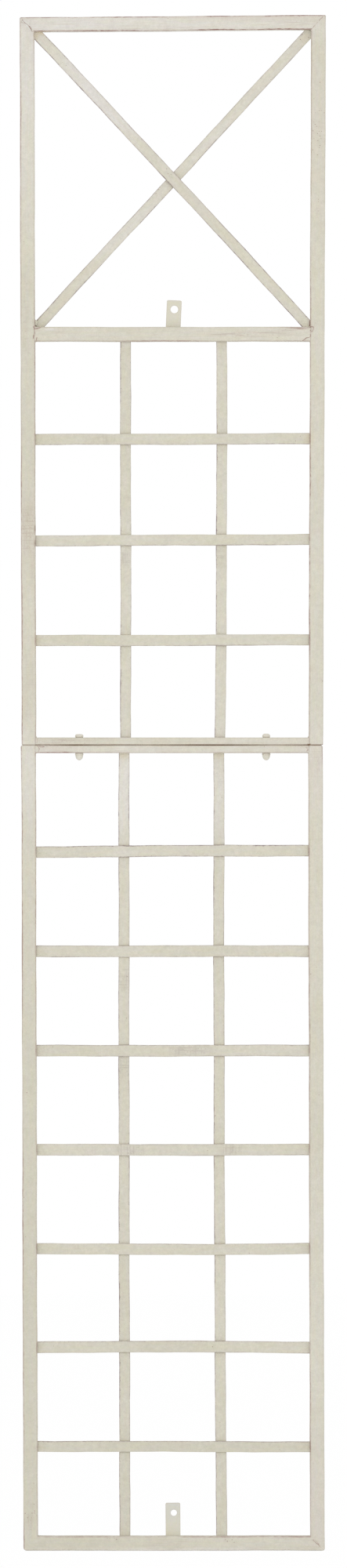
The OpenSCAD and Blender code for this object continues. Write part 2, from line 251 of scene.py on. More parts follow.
def makePaint(name, look):
    paint = bpy.data.materials.new(name)
    tree = emptyTree(paint)

    def colour(key):
        return (*look[key], 1)

    def calc(operation, a, b=0.5, c=0.5, clamp=False):
        return addNode(tree, "Math", {0: a, 1: b, 2: c}, operation=operation, use_clamp=clamp).outputs[0]

    def highest(first, *others):
        for other in others:
            first = calc("MAXIMUM", first, other)
        return first

    def rise(value, low, high, top=1.0, bottom=0.0):  # S curve from bottom at low to top at high
        inputs = {"Value": value, "From Min": low, "From Max": high, "To Min": bottom, "To Max": top}
        return addNode(tree, "MapRange", inputs, interpolation_type="SMOOTHSTEP").outputs[0]

    def stretch(vector, scale, shift):
        inputs = {0: vector, 1: scale, 2: (shift, shift * 0.7, shift * 1.3)}
        return addNode(tree, "VectorMath", inputs, operation="MULTIPLY_ADD").outputs[0]

    def texture(vector, scale, shift, detail, rough):
        inputs = {"Vector": stretch(vector, scale, shift), "Scale": 1.0, "Detail": detail, "Roughness": rough}
        return addNode(tree, "TexNoise", inputs).outputs[0]

    def mix(share, first, second):
        return addNode(tree, "Mix", {0: share, 6: first, 7: second}, data_type="RGBA").outputs[2]

    def times(first, second):  # colour times colour
        return addNode(tree, "VectorMath", {0: first, 1: second}, operation="MULTIPLY").outputs[0]

    def shade(first, factor):  # colour times number
        return addNode(tree, "VectorMath", {0: first, "Scale": factor}, operation="SCALE").outputs[0]

    def coats(under, *layers):  # each layer is its share and its colour's name
        for share, tone in layers:
            under = mix(share, under, colour(tone))
        return under

    def split(vector):
        return addNode(tree, "SeparateXYZ", {0: vector}).outputs[:3]

    def field(title):  # the three parts of a vector kept on the piece's points
        return split(addNode(tree, "Attribute", attribute_name=title).outputs["Vector"])

    surface, wear = (addNode(tree, "UVMap", uv_map=title).outputs[0] for title in ("surface", "wear"))
    maps = {"surface": surface, "place": addNode(tree, "TexCoord").outputs["Object"]}
    edge, end, _ = split(wear)
    # the third mark darkens the paint: dirt and painted shade in the joint, painted shade beside crossing bars and
    # under fasteners
    rub, speck, grimeAndShade = field("marks")
    paintedLight, ochre, blush = field("tones")
    rubbing, grey, cool = field("edges")
    noise = {key: texture(maps[where], *values) for key, (where, *values) in paintNoise.items()}

    def shown(key):  # a mark's noise, up to the mark's strength
        source, low, high = paintBands[key]
        return rise(noise[source], low, high, look.get(key, 1.0))

    def ragged(distance, key):
        source, gain, middle = raggedness[key]
        return calc("MULTIPLY_ADD", noise[source], gain, calc("ADD", distance, middle))

    # The paint itself
    base = mix(shown("clouds"), colour("cream"), colour("creamWarm"))
    # painted light: paler cream where highlights, sheen or lifted shade are painted
    base = coats(base, (paintedLight, "creamLit"), (grey, "creamGrey"), (cool, "creamCool"))
    base = times(base, mix(shown("tinges"), colour("greenish"), colour("rosy")))
    base = times(base, mix(shown("colds"), colour("yellowish"), colour("bluish")))
    base = shade(base, calc("MULTIPLY_ADD", noise["fleck"], look["fleck"], 1 - 0.5 * look["fleck"]))
    base = coats(base, (shown("streaks"), "streakTone"), (shown("hatch"), "streakTone"), (shown("blotches"), "blush"),
                 (ochre, "ochre"), (blush, "blush"))

    # Rubbed edges: the distance to the edge gains short breaks and long runs of heavy and light wear
    rough = ragged(ragged(edge, "edge"), "run")
    thin, thick = fades["line"][0], look["lineWidth"] + fades["line"][1]
    line = calc("MULTIPLY", rise(rough, thin, thick, 0.0, look["line"]), rubbing, clamp=True)
    border = calc("MULTIPLY_ADD", rough, haloRagged, calc("MULTIPLY", edge, 1 - haloRagged))
    halo = rise(border, 0.0, look["haloWidth"], 0.0, look["halo"])
    halo = calc("MULTIPLY", halo, calc("MULTIPLY_ADD", rubbing, *haloWorn), clamp=True)
    chips = calc("MULTIPLY", shown("chips"), rise(rough, *fades["chips"], 0.0, 1.0))
    chips = calc("MULTIPLY", chips, rubbing, clamp=True)

    # Dark line at the ends, and strokes and grain in rubbed places
    gap = ragged(end, "end")
    seam = rise(gap, *fades["seam"], 0.0, look["seam"])
    seamHalo = rise(gap, *fades["seamHalo"], 0.0, 0.5 * look["seam"])
    strokes = highest(shown("rubAlong"), shown("rubAcross"), shown("rubGrain"))
    rubbed = calc("MULTIPLY", strokes, rub, clamp=True)
    rubHalo = calc("MULTIPLY", rub, look["rubHalo"], clamp=True)

    # Dark dots: some of the cells of a random pattern have one, more of them in speckled places
    cells = addNode(tree, "TexVoronoi",
                    {"Vector": stretch(surface, look["dotCells"], 8.0), "Scale": 1.0, "Randomness": 1.0},
                    voronoi_dimensions="2D").outputs
    chance = addNode(tree, "SeparateColor", {0: cells["Color"]}).outputs
    dotty = calc("LESS_THAN", chance[0], calc("MULTIPLY_ADD", speck, look["moreDots"], look["dots"]))
    away = calc("DIVIDE", cells["Distance"], calc("MULTIPLY_ADD", chance[1], *look["dotSize"]))
    dots = calc("MULTIPLY", dotty, rise(away, *fades["dot"], 0.0, look["dotStrength"]))

    worn = highest(line, seam, rubbed, chips)
    paintColour = coats(base, (highest(halo, seamHalo, rubHalo), "blush"), (worn, "undercoat"), (dots, "dot"),
                        (grimeAndShade, "dark"))

    roughness = calc("MULTIPLY_ADD", noise["streak"], 0.16, look["roughness"] - 0.08)
    roughness = calc("MULTIPLY_ADD", worn, 0.18, roughness)
    height = calc("MULTIPLY_ADD", noise["streak"], 1.0, calc("MULTIPLY", noise["blotch"], 0.7))
    height = calc("MULTIPLY_ADD", worn, -0.8, height)
    bump = addNode(tree, "Bump", {"Strength": look["bump"], "Distance": look["bumpHeight"], "Height": height})
    shader = addNode(tree, "BsdfPrincipled",
                     {"Base Color": paintColour, "Roughness": roughness, "Specular IOR Level": look["shine"],
                      "Normal": bump.outputs[0]})
    addNode(tree, "OutputMaterial", {"Surface": shader.outputs[0]})
    return paint


paintLooks = {"tube": creamPaint, "rail": railPaint, "bar": barPaint, "lug": lugPaint, "weld": weldPaint,
              "fastener": fastenerPaint}
paints = {key: makePaint(key + "_cream", look) for key, look in paintLooks.items()}
print("paint mixed")


def boxOf(node):  # low corner, high corner and middle
    low, high = (np.array(corner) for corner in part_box(node))
    return low, high, (low + high) / 2


def smoothStep(low, high, x):  # 0 below low, 1 above high, an S curve between
    t = np.clip((x - low) / (high - low), 0, 1)
    return t * t * (3 - 2 * t)


def wobble(run, seed, waves):  # sum of sine waves, each with a length, a swing and a seeded phase
    phases = np.random.default_rng(seed).random(len(waves))
    return sum(swing * np.sin(2 * np.pi * (run / length + phase)) for (length, swing), phase in zip(waves, phases))


bodyOf = {"upper": "upper_frame", "lower": "lower_frame"}
panelHalf = cadHigh.x
jointHeight = 1.050
# Welded by hand: each panel widens from foot to head by a spread, shifts sideways, and its head is a little askew
panelShape = {
    "upper": {"low": jointHeight, "high": 2.000, "spread": (0.9931, 1.0088), "shift": (-0.5 * mm, 0.0),
              "skew": 3.0 * mm, "skewFrom": 1.60, "footBend": 0.0, "flare": 0.0},
    "lower": {"low": 0.0, "high": jointHeight, "spread": (0.9925, 0.9925), "shift": (1.4 * mm, -0.9 * mm),
              "skew": 0.0, "skewFrom": 0.5, "footBend": 0.5 * mm, "flare": 0.9 * mm},
}
bendReach = 250 * mm  # height over which the foot's bend dies away
flareWide, flareReach = 25 * mm, 45 * mm  # how far the flare goes in from the side and down from the head
cornerRadii = {
    # ground by hand: foot left, foot right, head left, head right
    "upper": (1.6 * mm, 1.6 * mm, 2.2 * mm, 1.8 * mm),
    "lower": (4.2 * mm, 3.0 * mm, 3.0 * mm, 3.0 * mm),
}


def roundCorners(points, panel):  # points beyond the quarter circles in the panel's corners are drawn back onto them
    shape, radii = panelShape[panel], cornerRadii[panel]
    x, z = points[..., 0], points[..., 2]
    middle = (shape["low"] + shape["high"]) / 2
    radius = np.where(z < middle, np.where(x < 0, radii[0], radii[1]), np.where(x < 0, radii[2], radii[3]))
    centreX, centreZ = panelHalf - radius, shape["high"] - middle - radius
    outX, outZ = np.abs(x) - centreX, np.abs(z - middle) - centreZ
    far = np.hypot(outX, outZ)
    beyond = (outX > 0) & (outZ > 0) & (far > radius)
    keep = np.where(beyond, radius / np.maximum(far, 1e-9), 1.0)
    done = points.copy()
    done[..., 0] = np.where(beyond, np.sign(x) * (centreX + outX * keep), x)
    done[..., 2] = np.where(beyond, middle + np.sign(z - middle) * (centreZ + outZ * keep), z)
    return done


def fitToPanel(points, panel):
    # x times an even run of spreads plus an even run of shifts; z rises with x at the head.
    # The foot bends to the right, and the outer side of the left stile flares out at the head.
    shape = panelShape[panel]
    x, z = points[..., 0], points[..., 2]
    t = (z - shape["low"]) / (shape["high"] - shape["low"])
    spread, shift = (shape[key][0] + (shape[key][1] - shape[key][0]) * t for key in ("spread", "shift"))
    bend = shape["footBend"] * (1 - smoothStep(0, bendReach, z - shape["low"]))
    flare = shape["flare"] * smoothStep(panelHalf - flareWide, panelHalf, -x) * np.exp((z - shape["high"]) / flareReach)
    done = points.copy()
    done[..., 0] = x * spread + shift + bend - flare
    done[..., 2] = z + shape["skew"] * x / (2 * panelHalf) * smoothStep(shape["skewFrom"], shape["high"], z)
    return done


flatShares = np.array([0.015, 0.05, 0.12, 0.25, 0.38, 0.5, 0.62, 0.75, 0.88, 0.95, 0.985])  # cuts across a flat side
endSteps = np.array([0, 0.4, 0.8, 1.2, 1.6, 2.0, 2.5, 3.2, 4.2, 6.0]) * mm  # stations at a piece's ends
noWear = 9 * mm  # a distance at which the paint shows no edge or end


def roundedProfile(width, depth, radius, arcSteps):
    # A rectangle with quarter circles at the corners.
    # Gives the points, the way walked to each, and each point's distance from the nearest corner's middle.
    turns = np.radians(np.linspace(-90, 0, arcSteps + 1))
    quarter = radius * np.stack([np.cos(turns), np.sin(turns)], 1)
    flat = [depth - 2 * radius, width - 2 * radius] * 2
    points, way, corners, walked = [], [], [], 0.0
    for k, (sx, sy) in enumerate([(1, -1), (1, 1), (-1, 1), (-1, -1)]):
        c, s = round(math.cos(k * math.pi / 2)), round(math.sin(k * math.pi / 2))
        arc = quarter @ np.array([[c, s], [-s, c]]) + [sx * (width / 2 - radius), sy * (depth / 2 - radius)]
        arcWay = walked + np.linspace(0, radius * math.pi / 2, arcSteps + 1)
        points += [arc, arc[-1] + np.outer(flatShares, np.array([-s, c]) * flat[k])]
        way += [arcWay, arcWay[-1] + flatShares * flat[k]]
        corners.append(walked + radius * math.pi / 4)
        walked = arcWay[-1] + flat[k]
    way = np.append(np.concatenate(way), walked)
    away = np.abs(way[:, None] - np.array(corners)[None, :])
    return np.concatenate(points), way, np.minimum(away, walked - away).min(1)


def stationShares(length, gap):  # even steps along a run, closer at both ends
    calm = endSteps[-1]
    middle = np.linspace(calm, length - calm, max(2, int(round((length - 2 * calm) / gap)) + 1))
    return np.concatenate([endSteps[:-1], middle, (length - endSteps[:-1])[::-1]]) / length


def gridQuads(rows, columns, loop=False, sheet=False):
    # Row and column of each quad's corners; a loop joins the last row to the first, a sheet stays open at the columns
    i = np.arange(rows if loop else rows - 1)
    j = np.arange(columns - 1 if sheet else columns)
    i, j = np.meshgrid(i, j, indexing="ij")
    row = np.stack([i, i, i + 1, i + 1], -1).reshape(-1, 4) % rows
    return row, np.stack([j, j + 1, j + 1, j], -1).reshape(-1, 4)


def gridPart(points, along, way, edge, end, caps=True, loop=False):
    # One sheet of a piece: rows of stations, columns round the profile, closed round it; maps have one more column
    shape = (points.shape[0], points.shape[1] + 1)
    maps = np.stack([np.broadcast_to(m, shape) for m in (along, way, edge / mm, end / mm)], -1)
    return {"points": points, "maps": maps, "caps": caps, "loop": loop}


def signedVolume(a, b, c):  # six times the volume between triangles and the origin
    return np.einsum("ij,ij->", np.cross(a, b), c)


def partArrays(part):  # quads between neighbouring stations, and a fan of triangles over each open end
    points, maps = part["points"], part["maps"]
    rows, columns = points.shape[:2]
    vertices = points.reshape(-1, 3)
    row, column = gridQuads(rows, columns, part["loop"])
    quads, quadMaps = row * columns + column % columns, maps[row, column]
    a, b, c, d = vertices[quads].transpose(1, 0, 2)
    volume = signedVolume(a, b, c) + signedVolume(a, c, d)
    fans, fanMaps = np.zeros((0, 3), int), np.zeros((0, 3, 4))
    if part["caps"]:
        j = np.arange(columns)
        ahead, first, last = (j + 1) % columns, len(vertices), (rows - 1) * columns
        fans = np.concatenate([np.stack([0 * j + first, ahead, j], 1),
                               np.stack([0 * j + first + 1, last + j, last + ahead], 1)])
        fanMaps = np.stack([np.stack([maps[r, j] * [1, 1, 0, 0] + [0, 0, noWear / mm, 0], maps[r, c1], maps[r, c2]], 1)
                            for r, c1, c2 in ((0, j + 1, j), (rows - 1, j, j + 1))]).reshape(-1, 3, 4)
        vertices = np.concatenate([vertices, [points[0].mean(0), points[-1].mean(0)]])
        volume += signedVolume(*vertices[fans].transpose(1, 0, 2))
    turn = -1 if volume < 0 else 1  # faces point outwards
    return vertices, quads[:, ::turn], quadMaps[:, ::turn], fans[:, ::turn], fanMaps[:, ::turn]


# Places where the photographed paint is rubbed, spotted or toned, or where light is painted, in millimetres in the
# front plane:
# middle x, middle z, half width, half height, strength
rubs = {
    "top_rail": [(-184, 1990, 9, 7, 0.35), (60, 1984, 130, 3, 0.3), (163, 1992, 18, 6, 0.4), (118, 1988, 12, 7, 0.3)],
    "upper_left_stile": [(-189, 1988, 6, 9, 0.35), (-188, 1331, 14, 34, 1.0), (-182, 1295, 5, 30, 0.7),
                         (-188, 1120, 10, 60, 0.25), (-192, 1600, 3, 60, 0.5)],
    "upper_right_stile": [(182, 1594, 4, 5, 0.7)],
    "lower_left_stile": [(-186, 40, 5, 13, 0.7)],
    "lower_right_stile": [(188, 1030, 12, 24, 0.35)],
    "lower_left_upright": [(-63, 743, 9, 14, 0.9), (-63, 630, 9, 13, 0.8)],
    "lower_right_upright": [(60, 1016, 9, 16, 0.4)],
    "upper_left_upright": [(-62, 1294, 9, 10, 0.8)],
    "upper_right_upright": [(62, 1294, 9, 9, 0.6)],
    "upper_slat_3": [(-92, 1449, 18, 9, 0.4)],
    "lower_slat_5": [(20, 652, 28, 9, 0.9)],
    "lower_slat_4": [(-57, 522, 17, 9, 0.9), (76, 522, 16, 9, 0.8)],
    "rear_brace": [(-15, 1735, 14, 14, 0.4), (172, 1974, 8, 8, 0.15)],
    "brace_rail": [(160, 1592.8, 18, 2.6, 1.5), (100, 1586, 60, 4, 0.7), (-150, 1590, 16, 4, 0.35)],
    "upper_meeting_rail": [(-145, 1056, 32, 4.5, 0.8), (60, 1052, 30, 2.5, 0.3)],
    "lower_meeting_rail": [(-172, 1048, 6, 1.6, 1.5), (-150, 1048.4, 26, 1.5, 0.7), (-150, 1041, 26, 1.5, 0.5)],
    "bottom_rail": [(0, 10, 26, 8, 0.25), (150, 17, 22, 2.5, 0.5)],
}
specks = {
    "upper_right_stile": [(186, 1845, 8, 27, 1.0), (188, 1890, 9, 50, 0.2), (188, 1752, 8, 12, 0.4)],
    "lower_left_stile": [(-185, 42, 8, 14, 1.0)],
    "front_brace": [(-137, 1895, 16, 16, 0.4), (-145, 1943, 8, 10, 0.5), (-4, 1795, 10, 8, 0.3),
                    (20, 1762, 7, 7, 0.35)],
    "rear_brace": [(172, 1974, 8, 8, 0.4), (-17, 1772, 9, 9, 0.45)],
    "upper_meeting_rail": [(-118, 1056, 9, 4, 0.5)],
    "bottom_rail": [(-80, 12, 14, 6, 0.3), (75, 14, 20, 5, 0.3)],
}
# painted light: paler cream for highlights and sheen, and to lift places that lie in shade, such as the bottom rail's
# lower edge and the lower lug's foot
paintedLightSpots = [
    (-188, 1900, 26, 190, 0.44), (0, 1991, 230, 22, 0.66), (-188, 1000, 18, 75, 0.51), (188, 1022, 18, 70, 0.53),
    (188, 1085, 14, 40, 0.3), (-60, 1573, 8, 4, 0.6), (-64, 1000, 16, 75, 0.82), (61, 1000, 16, 75, 0.50),
    (0, 912, 180, 14, 0.14), (0, 1042, 400, 10, 0.38), (170, 1056, 120, 8, 0.33), (40, 1056, 90, 8, 0.15),
    (0, 30, 14, 12, 0.35), (188, 200, 14, 300, 0.27), (188, 60, 14, 90, 0.40), (90, 10, 130, 10, 0.19),
    (150, 10, 60, 10, 0.31), (188, 1400, 14, 120, 0.15), (0, 522, 180, 12, 0.15), (0, 1612, 14, 20, 0.2),
    (0, 0, 230, 4, 1.0), (0, 1585, 200, 12, 0.18), (-100, 1895, 80, 80, 0.62), (-60, 1728, 60, 60, 0.42),
    (60, 1850, 70, 80, 0.3), (130, 1925, 40, 40, 0.25), (-160, 1592, 8, 1.6, 1.0),
    (-122, 1034, 9, 5, 0.66), (122, 1034, 9, 5, 0.66), (-122, 1064.5, 9, 4, 0.6), (122, 1064.5, 9, 4, 0.6),
]
greySpots = [
    (-188, 1450, 18, 230, 0.45), (-188, 420, 18, 440, 0.58), (0, 136, 180, 12, 0.6), (-135, 10, 70, 10, 0.45),
    (-110, 1056, 60, 8, 0.28), (0, 1189, 180, 12, 0.25), (-63, 100, 12, 80, 0.25), (61, 100, 12, 80, 0.25),
]
ochreSpots = [
    (20, 1056, 180, 7, 0.10), (-170, 1978.5, 10, 2.2, 0.8), (-178, 1974, 3.5, 6, 0.6), (-64, 1036, 9, 5, 0.4),
    (61, 1036, 9, 5, 0.4), (178, 1449, 7, 9, 0.4), (172, 1972, 7, 7, 0.25), (-178, 1185, 6, 8, 0.25),
]
blushSpots = [
    (188, 1840, 14, 110, 0.12), (-188, 1335, 14, 60, 0.1), (188, 1010, 14, 40, 0.15), (100, 2000, 110, 6, 0.3),
    (-150, 1046, 34, 5, 0.2), (188, 60, 14, 80, 0.2), (25, 1760, 35, 35, 0.15),
]
coolSpots = [
    (0, 58, 14, 20, 0.95), (-110, 1900, 70, 70, 0.5), (-150, 1991, 70, 14, 0.6), (-60, 1991, 80, 12, 0.3),
    (-188, 1960, 16, 90, 0.4),
]
# How much edges are rubbed: left and right of what stands, bottom and top of what lies
edgeWear = {
    "upper_left_stile": (0.80, 0.45), "upper_right_stile": (0.50, 0.03),
    "lower_left_stile": (0.85, 0.36), "lower_right_stile": (0.50, 0.05),
    "top_rail": (1.40, 1.10), "brace_rail": (0.28, 0.03), "bottom_rail": (0.03, 0.80),
    "upper_meeting_rail": (0.4, 0.03), "lower_meeting_rail": (0.48, 0.4),
    "upper_slat_3": (0.9, 0.35), "upper_slat_2": (1.05, 0.15), "upper_slat_1": (0.9, 0.25), "lower_slat_7": (1.7, 2.0),
    "lower_slat_6": (0.95, 0.8), "lower_slat_5": (0.6, 1.1), "lower_slat_4": (0.6, 0.6),
    "lower_slat_3": (0.15, 0.9), "lower_slat_2": (0.6, 1.1), "lower_slat_1": (0.03, 1.2),
    "upper_left_upright": (1.4, 1.0), "upper_right_upright": (1.5, 0.35),
    "lower_left_upright": (1.4, 0.9), "lower_right_upright": (1.3, 0.65),
    "front_brace": (1.5, 1.5), "rear_brace": (1.4, 0.8),
}
otherWear = 1.05
leastWear, mostWear = 0.03, 2.0
edgeSpots = [
    # places with more or less rubbing than the rest of the edge
    (-198, 1837, 8, 70, 0.3), (-198, 1530, 8, 100, -0.55), (-197, 1380, 8, 52, 0.45), (-197, 1120, 8, 90, 0.6),
    (-196, 880, 8, 150, 0.25), (-195, 610, 8, 80, -0.55), (-196, 458, 8, 50, 0.75), (-195, 200, 8, 50, 0.45),
    (-195, 75, 8, 45, -0.7), (-196, 12, 6, 14, 0.4), (-179, 1576, 6, 80, 0.5), (-179, 1520, 6, 50, 1.15),
    (-180, 1800, 6, 170, -0.35), (-177, 585, 6, 50, -0.3), (-179.5, 1331, 4, 4.5, 1.5), (-179.5, 1313, 4, 5, 1.5),
    (-178, 870, 6, 170, 0.4), (179, 1628, 6, 32, 0.6), (179, 1520, 6, 55, 0.5), (179, 1380, 6, 55, 1.1),
    (179, 1255, 6, 75, 1.9), (178, 1100, 6, 60, 0.25), (178, 715, 6, 55, 0.6), (178, 600, 6, 60, 0.5),
    (178, 200, 6, 55, 0.45), (197, 1040, 5, 12, 0.8), (-95, 2000, 45, 6, 0.45), (20, 2000, 18, 6, -0.5),
    (60, 2001, 26, 6, 1.2), (160, 2002, 45, 6, 0.9), (-145, 1980, 22, 6, -0.6), (-77, 1981, 24, 6, 0.6),
    (15, 1981, 18, 6, -0.7), (-20, 1981, 18, 6, -0.5), (61, 1981, 22, 6, 0.55), (143, 1981, 24, 6, 1.1),
    (-172, 1595, 10, 5, 0.6), (160, 1595, 20, 4, 0.7), (-10, 1576, 50, 5, 0.9), (160, 1576, 18, 4, 0.3),
    (-155, 1039.5, 26, 5, 1.5), (-165, 1050, 20, 5, 0.3), (-95, 1060, 24, 4, 0.15), (0, 19, 12, 5, -0.7),
    (-8, 0, 16, 4, 0.3), (35, 19, 18, 5, 0.15), (120, 19, 60, 5, 0.35), (165, 19, 14, 5, 0.5),
    (-63, 965, 14, 38, 0.9), (-70, 200, 6, 45, 0.8),
]
slatEndWear = (5, 8, 0.7)  # the stiles' inner edges beside the slats' ends: half width, half height, strength
for slat in [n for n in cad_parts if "_slat_" in n]:
    low, high, middle = boxOf(slat)
    edgeSpots += [(x / mm, middle[2] / mm, *slatEndWear) for x in (low[0], high[0])]
moreWear = [s for s in edgeSpots if s[4] > 0]
lessWear = [(*s[:4], -s[4]) for s in edgeSpots if s[4] < 0]
jointDarkReach = 0.85 * mm  # how far the joint's dirt and painted shade reach up and down
jointDarkPlaces = (
    # x in millimetres, strength
    (-198, 0.56), (-185, 0.62), (-172, 0.14), (-145, 0.58), (-128, 0.98), (-110, 0.78), (-95, 0.45), (-62, 0.48),
    (-32, 0.30), (0, 0.58), (35, 0.96), (70, 0.96), (100, 0.60), (132, 0.02), (150, 0.10), (168, 0.36), (184, 0.95),
    (198, 0.92),
)
# spots darkened like the joint, dirt and painted shade: the lower right corner of the brace bay, the joint's right end,
# and the left stile at a slat's end
darkSpots = [(179.6, 1595.5, 2.0, 2.2, 0.5), (178, 1050.4, 2.7, 1.5, 1.0), (-179.3, 1331, 1.8, 3.2, 0.55),
             (-179.3, 1313, 1.8, 3.4, 0.55)]
frontDepth, rearDepth = 0.1 * mm, 1.4 * mm  # faces before these depths are the fronts of pieces and of the rear bars


bellPower = 1.5


def spotField(points, spots):  # each spot falls off as a bell from its middle
    field = np.zeros(len(points))
    for x, z, halfX, halfZ, strength in spots:
        fall = ((points[:, 0] - x * mm) / (halfX * mm)) ** 2 + ((points[:, 2] - z * mm) / (halfZ * mm)) ** 2
        field = np.maximum(field, strength * np.exp(-fall ** bellPower))
    return field


def jointDirtAndShade(points):  # dirt and painted shade in the joint's gap: a bell about the joint's height; its strength runs evenly between the given places
    places, strengths = zip(*jointDarkPlaces)
    line = np.interp(points[:, 0] / mm, places, strengths) * np.exp(-((points[:, 2] - jointHeight) / jointDarkReach) ** 2)
    return np.maximum(line, spotField(points, darkSpots))


def edgeRubbing(name, points):  # from the low side's wear to the high side's across a piece, plus the spots
    if name not in edgeWear:
        return np.full(len(points), otherWear)
    low, high, _ = boxOf(name)
    axis = 0 if "stile" in name or "upright" in name else 2
    first, last = edgeWear[name]
    wear = first + (last - first) * smoothStep(low[axis], high[axis], points[:, axis])
    return np.clip(wear + spotField(points, moreWear) - spotField(points, lessWear), leastWear, mostWear)


def putField(mesh, title, columns):  # three values for each point
    values = np.stack(columns, 1).astype(np.float32)
    layer = mesh.attributes.get(title) or mesh.attributes.new(title, "FLOAT_VECTOR", "POINT")
    layer.data.foreach_set("vector", values.ravel())


def putWearShadeAndLight(mesh, name, grimeAndShade=None):  # where the paint is rubbed, dirty or warmer, where painted shade darkens it, and where painted light makes it paler
    points = np.empty(3 * len(mesh.vertices), np.float32)
    mesh.vertices.foreach_get("co", points)
    points = points.reshape(-1, 3).astype(float)
    front = points[:, 1] < (rearDepth if "upright" in name or "rear" in name else frontDepth)
    rub, speck = (spotField(points, spots.get(name, ())) * front for spots in (rubs, specks))
    putField(mesh, "marks", [rub, speck, grimeAndShade(points) if grimeAndShade else np.zeros(len(points))])
    putField(mesh, "tones", [spotField(points, spots) for spots in (paintedLightSpots, ochreSpots, blushSpots)])
    putField(mesh, "edges", [edgeRubbing(name, points), spotField(points, greySpots), spotField(points, coolSpots)])


def putMaps(mesh, maps):  # for each face corner: metres along and round, millimetres to the edge and to the end
    for title, columns in (("surface", (0, 1)), ("wear", (2, 3))):
        layer = mesh.uv_layers.new(name=title)
        layer.data.foreach_set("uv", maps[:, columns].astype(np.float32).ravel())


def showPiece(name, mesh, paint, sharpFrom):  # smooth, sharp at steep edges, painted
    mesh.polygons.foreach_set("use_smooth", np.ones(len(mesh.polygons), bool))
    mesh.set_sharp_from_angle(angle=math.radians(sharpFrom))
    mesh.materials.append(paint)
    piece = bpy.data.objects.new("painted_" + name, mesh)
    scene.collection.objects.link(piece)
    return piece


weldedSharp, turnedSharp = 38, 40  # angles in degrees from which an edge is drawn sharp


def makePiece(name, parts, paint, body, nodes=(), grimeAndShade=None):
    arrays = [partArrays(p) for p in parts]
    starts = np.cumsum([0] + [len(a[0]) for a in arrays[:-1]])
    vertices = np.concatenate([a[0] for a in arrays])
    quads, fans = (np.concatenate([a[k] + s for a, s in zip(arrays, starts)]) for k in (1, 3))
    maps = np.concatenate([a[k].reshape(-1, 4) for k in (2, 4) for a in arrays])
    loops = np.concatenate([quads.ravel(), fans.ravel()]).astype(np.int32)
    loopStarts = np.concatenate([np.arange(len(quads)) * 4, len(quads) * 4 + np.arange(len(fans)) * 3])
    mesh = bpy.data.meshes.new(name)
    mesh.vertices.add(len(vertices))
    mesh.vertices.foreach_set("co", vertices.astype(np.float32).ravel())
    mesh.loops.add(len(loops))
    mesh.polygons.add(len(loopStarts))
    mesh.polygons.foreach_set("loop_start", loopStarts.astype(np.int32))
    mesh.polygons.foreach_set("vertices", loops)
    mesh.update(calc_edges=True)
    putMaps(mesh, maps)
    putWearShadeAndLight(mesh, name, grimeAndShade)
    piece = showPiece(name, mesh, paint, weldedSharp)
    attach(piece, body)
    if nodes:
        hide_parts(*nodes)
    return piece


# Tubes: a rounded square carried along a straight line, cut square or on the mitre
tubeLook = {
    "edgeRadius": 2.0 * mm,
    "arcSteps": 7,
    "gap": 5.0 * mm,
    "waves": [(0.37, 0.16 * mm), (0.113, 0.10 * mm), (0.041, 0.05 * mm)],
    "dent": [(0.23, 0.05 * mm), (0.061, 0.04 * mm)],
    "calm": 30.0 * mm,  # the waves die away over this much at the ends, where the neighbours meet
    "seamStart": 0.4 * mm,  # distance that the paint takes for a butt end's seam
}
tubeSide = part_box("bottom_rail")[1].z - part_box("bottom_rail")[0].z
thinner = {"upper_meeting_rail": 0.7 * mm}  # its top lies a little lower
buttSink = 0.8 * mm
tubes = {
    # panel, run, mitre at the low end, mitre at the high end, how far the ends go into the neighbours, seed, waves
    "upper_left_stile": ("upper", "z", 0.0, -1.0, 0.0, 11, 1.0),
    "upper_right_stile": ("upper", "z", 0.0, 1.0, 0.0, 12, 1.0),
    "top_rail": ("upper", "x", -1.0, 1.0, 0.0, 13, 1.0),
    "brace_rail": ("upper", "x", 0.0, 0.0, buttSink, 14, 1.0),
    "lower_left_stile": ("lower", "z", 1.0, 0.0, 0.0, 15, 1.0),
    "lower_right_stile": ("lower", "z", -1.0, 0.0, 0.0, 16, 1.0),
    "bottom_rail": ("lower", "x", 1.0, -1.0, 0.0, 17, 1.0),
    "upper_meeting_rail": ("upper", "x", 0.0, 0.0, buttSink, 18, 0.0),
    "lower_meeting_rail": ("lower", "x", 0.0, 0.0, buttSink, 19, 0.0),
}


